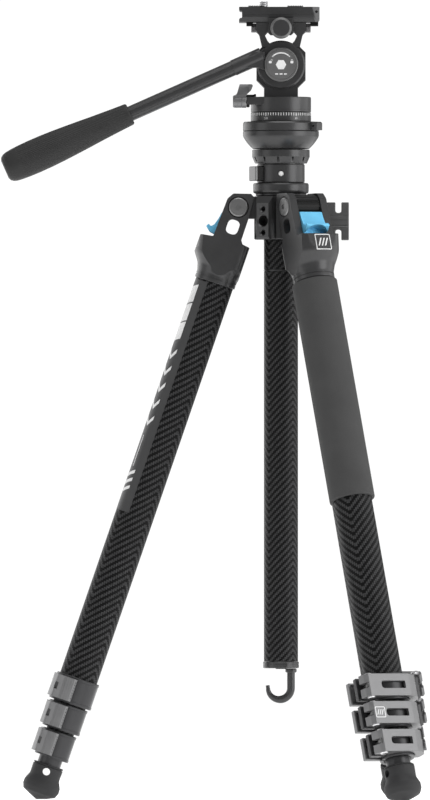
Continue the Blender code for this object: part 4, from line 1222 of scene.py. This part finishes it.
def levelling_ring():
    profile = [
        (0.014, 0.4703), (0.0192, 0.4703, 0.0003), (0.0213, 0.4752, 0.0003), (0.0213, 0.4801, 0.0003),
        (0.0208, 0.4805, 0.0003), (0.0179, 0.4782), (0.014, 0.476),
    ]
    body = lathe("level_ring", rounded(profile, 0.0001), 144, hollow=True)
    notches = []
    for i in range(12):
        notch = brick("notch", (0.0195, -0.0009, 0.469), (0.03, 0.0009, 0.475), 0)
        notches.append(moved(notch, facing(30 * i - 6)))
    return cut(body, gathered("notches", notches))


def bowl_outline(low_z, high_z, steps):
    """Points down the half ball between two heights."""
    high = math.acos((BALL_Z - high_z) / BALL_RADIUS)
    low = math.acos((BALL_Z - low_z) / BALL_RADIUS)
    angles = [high + (low - high) * i / steps for i in range(steps + 1)]
    return [(BALL_RADIUS * math.sin(a), BALL_Z - BALL_RADIUS * math.cos(a)) for a in angles]


def levelling_bowl():
    profile = [(0, 0.4942), (0.0277, 0.4942), (0.0281, 0.4938), (0.0281, 0.4907), (0.0278, 0.4901)]
    profile += bowl_outline(0.481, 0.4899, 10)
    profile += [(0.004, 0.4809), (0.004, 0.4632), (0, 0.4632)]
    return lathe("bowl", profile, 144)


def clamp_plate():
    """The bowl's clamp plate, with a slotted lobe at the front right."""
    profile = [(0, 0.4944), (0.0278, 0.4944), (0.0281, 0.4947), (0.0281, 0.4999)]
    body = lathe("clamp_plate", [*profile, (0.0272, 0.5011), (0, 0.5011)], 144)
    lobe_side = [(0.02, 0.4946), (0.033, 0.4946), (0.033, 0.4998), (0.032, 0.5009), (0.02, 0.5009)]
    lobe = slab("lobe", lobe_side, -0.0044, 0.0044, "Y", 0.0006)
    join(body, moved(lobe, facing(-30)))
    slot = moved(brick("lobe_slot", (0.029, -0.05, 0.4972), (0.031, 0.05, 0.4982), 0), facing(-30))
    return cut(body, slot)


def pan_base():
    profile = [
        (0, 0.5014), (0.022, 0.5014), (0.0223, 0.5017), (0.0223, 0.5077), (0.0221, 0.5079),
        (0.008, 0.5079), (0.008, 0.5148), (0, 0.5148),
    ]
    return lathe("pan_base", profile, 144)


def dial_ticks():
    """The degree scale: a mark every five degrees, with a longer one every sixty."""
    marks = []
    for i in range(72):
        low = 0.505 if i % 12 == 0 else 0.5055
        half = 0.0003 if i % 12 == 0 else 0.00022
        mark = brick("mark", (PAN_RADIUS - 0.0004, -half, low), (PAN_RADIUS + 0.00006, half, 0.5076), 0)
        marks.append(moved(mark, facing(5 * i)))
    return gathered("marks", marks)


def dial_numbers():
    """The scale's small numbers, bent round the dial."""
    drawn = []
    for value in range(30, 360, 60):
        text = bpy.data.curves.new("number", "FONT")
        text.body = str(value)
        text.size = 0.0021
        text.align_x = "CENTER"
        text.extrude = 0.0001
        obj = new_object("number", text)
        mesh = evaluated_mesh(obj)
        bpy.data.objects.remove(obj)
        centre = math.radians(value - 90)
        for vert in mesh.vertices:
            angle = centre + vert.co.x / PAN_RADIUS
            radius = PAN_RADIUS - 0.00005 + vert.co.z
            vert.co = (radius * math.cos(angle), radius * math.sin(angle), 0.5026 + vert.co.y)
        drawn.append(new_object("number", mesh))
    return gathered("numbers", drawn)


def head_frame():
    """The turning part of the head: the pan drum, a neck and an eight-sided block."""
    side = [
        (-0.0126, 0.515), (0.0126, 0.515), (0.0126, 0.5262), (0.0182, 0.5318), (0.0182, 0.5522),
        (0.0134, 0.557), (-0.0134, 0.557), (-0.0182, 0.5522), (-0.0182, 0.5318), (-0.0126, 0.5262),
    ]
    body = slab("frame", side, -0.0115, 0.0115, "Y", 0.0007)
    drum = [(0, 0.5082), (0.022, 0.5082), (0.0223, 0.5085), (0.0223, 0.5189), (0.0218, 0.5194), (0, 0.5194)]
    lug = brick("lock_lug", (-0.0253, -0.0185, 0.5135), (-0.012, -0.0095, 0.5193), 0.0005)
    join(body, lathe("drum", drum, 144), rod("axle", 0.006, (0, -0.0185, TILT_Z), (0, 0.0185, TILT_Z)))
    join(body, lug)
    cut(body, rod("spindle_bore", 0.0084, (0, 0, 0.5), (0, 0, 0.5154)))
    cut(body, rod("knob_bore", 0.0028, (0, -0.03, TILT_Z), (0, -0.008, TILT_Z)))
    cut(body, rod("lock_bore", 0.0017, (-0.03, *PAN_LOCK_AXIS), (-0.019, *PAN_LOCK_AXIS)))
    groove = lathe("groove", [(0.0219, 0.5098), (0.03, 0.5098), (0.03, 0.51), (0.0219, 0.51)], hollow=True)
    return cut(body, groove)


def lock_clamp():
    """The black clamp bits round the pan lock's stud."""
    ends = [(x, *PAN_LOCK_AXIS) for x in (-0.0256, -0.0232)]
    washer = rod("washer", 0.0043, *ends, 64, 0.0004)
    top = brick("clamp_top", (-0.0262, -0.0165, 0.519), (-0.0196, -0.0112, 0.5209), 0.0004)
    bead = rod("bead", 0.001, (-0.02, -0.014, 0.5204), (-0.0184, -0.014, 0.5204), 24, 0.0003)
    return gathered("lock_clamp", [washer, top, bead])


def pan_lock_lever():
    """A ribbed hub on a cross stud, with a curved finger paddle above it."""
    rings = [(0, 0), (0.004, 0, 0.0004), (0.0047, 0.001, 0.0004), (0.0047, 0.0062)]
    rings += [(0.0044, 0.0063), (0.0044, 0.0065), (0.0047, 0.0066), (0.0047, 0.0099, 0.0004), (0, 0.0099)]
    hub = lathe("lock_hub", rounded(rings, 0.0001, False), 64)
    moved(hub, aimed_out((-0.0356, *PAN_LOCK_AXIS)))
    paddle = [
        (-0.0354, 0.515, 0.0004), (-0.0262, 0.515, 0.0004), (-0.0256, 0.5208, 0.0006),
        (-0.0222, 0.524, 0.0025), (-0.0202, 0.5286, 0.0016), (-0.0306, 0.5286, 0.0007),
        (-0.0326, 0.5215, 0.004), (-0.0356, 0.519, 0.0018),
    ]
    blade = slab("paddle", rounded(paddle, 0.0004), -0.0172, -0.0108, "Y", 0.0004, 3)
    hollow = rod("finger_hollow", 0.009, (-0.05, -0.0245, 0.5246), (-0.0236, -0.0245, 0.526), 96)
    cut(blade, hollow)
    ends = [(x, *PAN_LOCK_AXIS) for x in (-0.028, -0.0202)]
    stud = rod("lock_stud", 0.0014, *ends, 24)
    return join(blade, hub, stud)


def lower_head_parts():
    cap = settle(neck_button(), LEVER_METAL)
    ring = settle(levelling_ring(), CASTING)
    pan_lever = settle(pan_lock_lever(), LEVER_METAL)
    return [
        ("neck_body", settle(levelling_neck(), CASTING), "column", "dark_casting", "levelling_neck"),
        ("neck_white_dot", settle(neck_dot(), WHITE_INK), "column", "dark_casting", None),
        # painted shade: the button's body is black to stand for its side face lying in shadow
        ("neck_button_body", settle(button_body(), BLACK), "release_button", "grey_lever", None),
        ("neck_button", cap, "release_button", "grey_lever", "neck_release_button"),
        ("level_lock_ring", ring, "level_ring", "dark_casting", "levelling_ring"),
        ("half_ball", settle(levelling_bowl(), CASTING), "level_bowl", "dark_casting", "levelling_bowl"),
        ("bowl_clamp_plate", settle(clamp_plate(), CASTING), "level_bowl", "dark_casting", "clamp_plate"),
        ("pan_dial", settle(pan_base(), CASTING), "level_bowl", "dark_casting", "pan_base"),
        ("dial_marks", settle(dial_ticks(), WHITE_INK), "level_bowl", "dark_casting", None),
        ("dial_numbers", settle(dial_numbers(), WHITE_INK), "level_bowl", "dark_casting", None),
        ("pan_frame", settle(head_frame(), CASTING), "pan_head", "dark_casting", "head_frame"),
        ("pan_lock_clamp", settle(lock_clamp(), BLACK), "pan_head", "dark_casting", None),
        ("pan_lock_handle", pan_lever, "pan_lock", "grey_lever", "pan_lock_lever"),
    ]


put_on_column(lower_head_parts())


def handle_place():
    """Where the handle's line passes nearest to the tilt axis, with +Z along the handle and +X downwards."""
    along = Vector((-math.cos(HANDLE_DROP), 0, -math.sin(HANDLE_DROP)))
    above = Vector((-math.sin(HANDLE_DROP), 0, math.cos(HANDLE_DROP)))
    side = along.cross(-above)
    start = Vector((0, HANDLE_Y, TILT_Z)) + above * HANDLE_OFFSET
    turn = Matrix((-above, side, along)).transposed().to_4x4()
    return Matrix.Translation(start) @ turn


def yoke_disc(low, high):
    """A disc about the tilt axis, from y = low to y = high, with its outer rim chamfered."""
    outer = low if abs(low) > abs(high) else high
    inner = high if outer == low else low
    step = 0.0007 if outer > inner else -0.0007
    profile = [
        (0, inner), (DISC_RADIUS - 0.0006, inner), (DISC_RADIUS, inner + step),
        (DISC_RADIUS, outer - 2 * step), (DISC_RADIUS - 0.0009, outer - step * 0.3),
        (DISC_RADIUS - 0.0012, outer), (0, outer),
    ]
    along_y = Matrix.Translation((0, 0, TILT_Z)) @ Matrix.Rotation(-math.pi / 2, 4, "X")
    return moved(lathe("yoke_disc", profile, 144), along_y)


def tilt_platform():
    """The tilting yoke: two discs, arms up to a bridge, and the handle's socket on the front disc."""
    arms = [
        (-0.0139, 0.556), (-0.006, 0.556), (-0.01, 0.5607, 0.0008), (-0.012, 0.565, 0.0012),
        (-0.01, 0.5673, 0.0006), (0.01, 0.5673, 0.0006), (0.012, 0.565, 0.0012),
        (0.01, 0.5607, 0.0008), (0.006, 0.556), (0.0139, 0.556), (0.0162, 0.566, 0.004),
        (0.0186, 0.5679, 0.001), (0.0186, 0.5742, 0.0002), (-0.0186, 0.5742, 0.0002),
        (-0.0186, 0.5679, 0.001), (-0.0162, 0.566, 0.004),
    ]
    arms = rounded(arms, 0.0001)
    body = brick("bridge", (-0.0183, -0.0175, 0.5681), (0.0183, 0.0175, 0.5739), 0.0004)
    for side in (-1, 1):
        low, high = sorted((side * 0.0118, side * 0.019))
        join(body, slab("arms", arms, low + 0.0004, high - 0.0006, "Y", 0.0004), yoke_disc(low, high))
    join(body, brick("step", (-0.019, -0.01, 0.5675), (0.019, 0.01, 0.5712), 0.0003))
    shell = rod("handle_socket", 0.006, (0, 0, 0.01), (0, 0, 0.0335), 64, 0.0003)
    join(body, moved(shell, handle_place()))
    web = [
        (-0.012, 0.5522), (-0.0183, 0.5521, 0.001), (-0.0212, 0.5519, 0.0012), (-0.024, 0.549, 0.003),
        (-0.03, 0.5452, 0.004), (-0.0285, 0.542, 0.003), (-0.0225, 0.5404, 0.002),
        (-0.018, 0.5406, 0.001), (-0.012, 0.539),
    ]
    join(body, slab("socket_web", rounded(web, 0.0003), -0.0298, -0.0184, "Y", 0.0005))
    cut(body, rod("axle_bore", 0.0063, (0, -0.03, TILT_Z), (0, 0.03, TILT_Z)))
    cut(body, rod("badge_clearance", BADGE_RADIUS + 0.0004, (0, -0.05, TILT_Z), (0, -0.0191, TILT_Z), FINE))
    bore = rod("rod_bore", 0.0058, (0, 0, 0.018), (0, 0, 0.06), 64)
    return cut(body, moved(bore, handle_place()))


def step_ears():
    """The pale steps that stick out under the plate's ends, behind its stops."""
    ears = []
    for low, high in ((-0.022, -0.0186), (0.0186, 0.022)):
        ears.append(brick("ear", (low, -0.01, 0.5675), (high, 0.01, 0.5712), 0.0003))
        ears.append(brick("tall_ear", (low, -0.0055, 0.5675), (high, 0.0098, 0.5738), 0.0003))
    return gathered("step_ears", ears)


BADGE_FRONT = 0.0263  # the badge's face, in front of the column's middle


def tilt_badge():
    """The tilt lock's round knob, dished inside a fine rim, with its stud."""
    front = BADGE_FRONT
    profile = [
        (0, 0.0085), (0.0025, 0.0085), (0.0025, 0.0193), (BADGE_RADIUS, 0.0193),
        (BADGE_RADIUS, front - 0.0006), (BADGE_RADIUS - 0.0005, front - 0.0001),
        (BADGE_RADIUS - 0.0013, front - 0.0001), (BADGE_RADIUS - 0.0014, front - 0.0003),
        (BADGE_RADIUS - 0.0018, front - 0.0003), (BADGE_RADIUS - 0.0019, front - 0.0001),
        (0, front - 0.0001),
    ]
    return moved(lathe("badge", profile, 144), aimed_front((0, 0, TILT_Z)))


def flat_mark(name, outline, depth=0.00012):
    """A thin plate on the badge's face."""
    low = BADGE_FRONT - 0.0001
    return moved(slab(name, outline, low, low + depth), aimed_front((0, 0, TILT_Z)))


def padlock(x, y, shackle):
    """A plain padlock: a body and an open or shut shackle."""
    body = flat_mark("lock_body", box_outline((x - 0.00105, y - 0.0014), (x + 0.00105, y + 0.0004), 0.0004))
    centre = (x + shackle, y + 0.0007)
    loop = arc(centre, 0.0008, 0, 180, 12) + arc(centre, 0.00045, 180, 0, 12)
    return [body, flat_mark("shackle", loop)]


def badge_marks():
    """The lock scale: an arc between an open and a shut padlock, over a hexagon and three dashes."""
    sweep = arc((0, 0), 0.009, 45, 135, 40) + arc((0, 0), 0.0081, 135, 45, 40)
    marks = [flat_mark("sweep", sweep)]
    marks += [flat_mark("sweep_end", circle_outline((x, 0.00605), 0.00062, 20)) for x in (-0.00605, 0.00605)]
    marks += padlock(-0.008, 0.0022, 0.0011)
    marks += padlock(0.008, 0.0022, 0.0)
    marks.append(flat_mark("hexagon", circle_outline((0, -0.0002), 0.0039, 6)))
    for x in (-0.0032, 0, 0.0032):
        dash = box_outline((x - 0.0011, -0.0075), (x + 0.0011, -0.0066), 0.0003)
        marks.append(flat_mark("dash", dash))
    return gathered("badge_marks", marks)


def plate_clamp():
    jaw = [
        (-0.0093, 0.566), (-0.0078, 0.5646), (0.0075, 0.5646), (0.009, 0.566), (0.009, 0.5774),
        (-0.0093, 0.5774),
    ]
    body = slab("jaw", jaw, -0.025, -0.0193, "Y", 0.0005)
    return cut(body, rod("jaw_bore", 0.0033, (0, -0.03, PLATE_KNOB_Z), (0, -0.01, PLATE_KNOB_Z)))


def plate_knob():
    """The round clamp knob: a milled edge, a pale chamfer and a flat face."""
    profile = [(0, -0.0055), (0.003, -0.0055), (0.003, 0), (0.0074, 0), (0.0079, 0.0005)]
    profile += [(0.0079, 0.006), (0.0076, 0.0064), (0.0063, 0.008), (0.006, 0.0078), (0, 0.0078)]
    body = lathe("plate_knob", profile, FINE)
    slots = []
    for i in range(24):
        slot = rod("slot", 0.00035, (0.0081, 0, 0.0003), (0.0081, 0, 0.0058), 8)
        slots.append(turned_about_z(slot, 15 * i))
    cut(body, gathered("slots", slots))
    return moved(body, aimed_front((0, -0.0253, PLATE_KNOB_Z)))


def knob_rim():
    """The knob's pale chamfer ring."""
    profile = [
        (0.0066, 0.00772), (0.00782, 0.00622), (0.00786, 0.00626),
        (0.0064, 0.008), (0.0062, 0.008), (0.0062, 0.0077),
    ]
    ring = lathe("knob_rim", profile, FINE, hollow=True)
    return moved(ring, aimed_front((0, -0.0253, PLATE_KNOB_Z)))


def camera_plate():
    """The quick-release plate: a stepped side, a C groove at the left end, and seats for its stops."""
    side = [
        (-0.031, 0.5746, 0.0006), (0.0268, 0.5746), (0.0285, 0.5763, 0.0003), (0.0285, 0.5855),
        (0.0282, 0.5858), (-0.0307, 0.5858), (-0.031, 0.5855), (-0.031, 0.5838, 0.0008),
        (-0.0302, 0.5828, 0.0006), (-0.0288, 0.5828, 0.0012), (-0.0288, 0.5776, 0.0012),
        (-0.0302, 0.5776, 0.0006), (-0.031, 0.5766, 0.0008),
    ]
    body = slab("plate", rounded(side, 0.0001), -0.019, 0.019, "Y", 0.0003)
    step = [
        (-0.0194, 0.574), (-0.0178, 0.574), (-0.0178, 0.5744),
        (-0.0188, 0.5782), (-0.0188, 0.5799), (-0.0194, 0.5803),
    ]
    cut(body, slab("step", step, -0.04, 0.04, "X"))
    for low, high in ((-0.0256, -0.0207), (0.0217, 0.0276)):
        cut(body, brick("stop_seat", (low - 0.0002, -0.0152, 0.574), (high + 0.0002, -0.0058, 0.5752), 0))
    cut(body, rod("head_recess", 0.0073, (SCREW_X, 0, 0.57), (SCREW_X, 0, 0.5802), 64))
    cut(body, rod("screw_bore", 0.0035, (SCREW_X, 0, 0.579), (SCREW_X, 0, 0.6), 48))
    cut(body, rod("end_hole", 0.0011, (0.024, -0.006, 0.5806), (0.04, -0.006, 0.5806), 24))
    corner = [(0.0232, -0.0191), (0.0232, -0.02), (0.0295, -0.02), (0.0295, -0.015), (0.0286, -0.0158)]
    cut(body, slab("plate_corner", corner, 0.57, 0.6))
    return cut(body, rod("side_hole", 0.001, (0.0262, -0.03, 0.5822), (0.0262, -0.015, 0.5822), 24))


def plate_stops():
    """The black stops under the plate's ends."""
    stops = []
    for low, high in ((-0.0256, -0.0207), (0.0217, 0.0276)):
        stops.append(brick("stop", (low, -0.015, 0.5716), (high, -0.006, 0.5751), 0.0003))
    return gathered("stops", stops)


def toothed_pad(low_x, high_x, low_y, high_y):
    """A rubber pad whose top is cut into rows of teeth."""
    teeth = 9
    pitch = (high_x - low_x) / teeth
    outline = [(low_x, 0.585)]
    for i in range(teeth):
        x = low_x + pitch * i
        outline += [(x + 0.00005, 0.5862), (x + 0.25 * pitch, 0.5868)]
        outline += [(x + 0.75 * pitch, 0.5868), (x + pitch - 0.00005, 0.5862)]
    outline.append((high_x, 0.585))
    return slab("pad", outline, low_y, high_y, "Y")


def plate_pads():
    pads = [toothed_pad(-0.0242, -0.0126, low, high) for low, high in ((-0.017, -0.006), (0.006, 0.017))]
    pads.append(toothed_pad(0.0047, 0.0163, -0.017, 0.017))
    return gathered("pads", pads)


def threaded(name, radius, depth, pitch, low, high):
    """A rod with a helical thread, round at both ends."""
    columns = 40
    rows = 64

    def height(row):
        return low + (high - low) * row / rows

    def radius_at(row, column):
        z = height(row)
        fade = min(1.0, (high - z) / 0.0006, (z - low) / 0.0002 + 0.2)
        phase = (z / pitch - column / columns) % 1.0
        crest = 1 - abs(2 * phase - 1)
        r = radius - depth + depth * min(1.0, crest * 1.35) * fade
        return min(r, radius - depth) if z > high - 0.0003 else r

    return round_tube(name, columns, rows, height, radius_at)


def camera_screw():
    """The quarter-inch camera screw: a helical thread on a slotted head."""
    thread = threaded("thread", 0.00317, 0.00072, 0.00127, 0.5798, 0.5904)
    profile = [(0, 0.58), (0.0068, 0.58), (0.007, 0.5798), (0.007, 0.5768), (0.0066, 0.5764)]
    head = lathe("screw_head", [*profile, (0, 0.5764)])
    cut(head, brick("slot", (-0.01, -0.0007, 0.5755), (0.01, 0.0007, 0.5778), 0))
    return moved(gathered("camera_screw", [thread, head]), Matrix.Translation((SCREW_X, 0, 0)))


def handle_bar():
    """The handle's rod, with shallow grooves along it."""
    outline = []
    for i in range(144):
        degrees = 2.5 * i
        radius = 0.0056
        for centre in (70, 110, 250, 290):
            if abs(degrees - centre) < 4:
                radius = 0.0053
        angle = math.radians(degrees)
        outline.append((radius * math.cos(angle), radius * math.sin(angle)))
    return moved(slab("handle_bar", outline, 0.019, GRIP_START + 0.024), handle_place())


GRIP_LENGTH = 0.1015
GRIP_MIDDLE = 0.052  # where the grip's slanting ribs turn round
GRIP_OUTLINE = (
    (0.0059, 0.0), (0.0072, 0.0), (0.0078, 0.0004), (0.0083, 0.0012), (0.0089, 0.012), (0.0098, 0.026),
    (0.0107, 0.038), (0.0114, 0.048), (0.012, 0.058), (0.0124, 0.068), (0.0125, 0.078),
    (0.0123, 0.086), (0.0119, 0.092), (0.0114, 0.096), (0.0106, 0.0985), (0.0092, 0.1005),
    (0.007, GRIP_LENGTH),
)


def grip_radius(s):
    for (first, low), (second, high) in zip(GRIP_OUTLINE, GRIP_OUTLINE[1:]):
        if low <= s <= high and high > low:
            return first + (second - first) * (s - low) / (high - low)
    return GRIP_OUTLINE[-1][0]


def handle_grip():
    """The rubber grip, moulded with fine slanting ribs that turn round at its middle and at its sides."""
    columns = 216
    rows = 420
    rib_pitch = 0.0019
    rib_depth = 0.00013

    def along(row):
        return GRIP_LENGTH * row / rows

    def radius_at(row, column):
        s = along(row)
        fade = max(0.0, min(1.0, (s - 0.003) / 0.0015, (0.09 - s) / 0.002))
        zigzag = abs((2 * column / columns + 0.25) % 1.0 - 0.5)
        nested = abs((s - GRIP_MIDDLE) / rib_pitch)
        wave = math.cos(math.tau * (nested - 34 * zigzag * (1 if s > GRIP_MIDDLE else -1) * 0.5))
        return grip_radius(s) - rib_depth * fade * (1 - wave)

    grip = round_tube("grip", columns, rows, lambda row: GRIP_START + along(row), radius_at)
    bore = rod("grip_bore", 0.0057, (0, 0, GRIP_START - 0.01), (0, 0, GRIP_START + 0.0245), 64)
    return moved(cut(grip, bore), handle_place())


def upper_head_parts():
    plate = settle(camera_plate(), CASTING)
    screw = settle(camera_screw(), STEEL, 50)
    grip = settle(handle_grip(), GRIP_RUBBER, 60)
    return [
        ("tilt_yoke", settle(tilt_platform(), CASTING), "tilt_head", "dark_casting", "tilt_platform"),
        ("yoke_ears", settle(step_ears(), PALE_METAL), "tilt_head", "dark_casting", None),
        ("tilt_badge", settle(tilt_badge(), BADGE_METAL), "tilt_knob", "grey_collar", "tilt_lock_knob"),
        ("tilt_badge_marks", settle(badge_marks(), WHITE_INK), "tilt_knob", "grey_collar", None),
        ("clamp_jaw", settle(plate_clamp(), CASTING), "tilt_head", "dark_casting", "plate_clamp"),
        ("clamp_knob", settle(plate_knob(), CASTING), "plate_knob", "dark_casting", "plate_lock_knob"),
        ("clamp_knob_rim", settle(knob_rim(), BADGE_METAL), "plate_knob", "dark_casting", None),
        ("release_plate", plate, "camera_plate", "dark_casting", "quick_release_plate"),
        ("release_plate_stops", settle(plate_stops(), BLACK), "camera_plate", "dark_casting", None),
        ("release_plate_pads", settle(plate_pads(), PAD_RUBBER), "camera_plate", "dark_casting", None),
        ("quarter_inch_screw", screw, "plate_screw", "bright_steel", "camera_screw"),
        ("handle_bar", settle(handle_bar(), CASTING), "tilt_head", "dark_casting", "handle_rod"),
        ("handle_rubber_grip", grip, "tilt_head", "rubber_grip", "handle_grip"),
    ]


put_on_column(upper_head_parts())
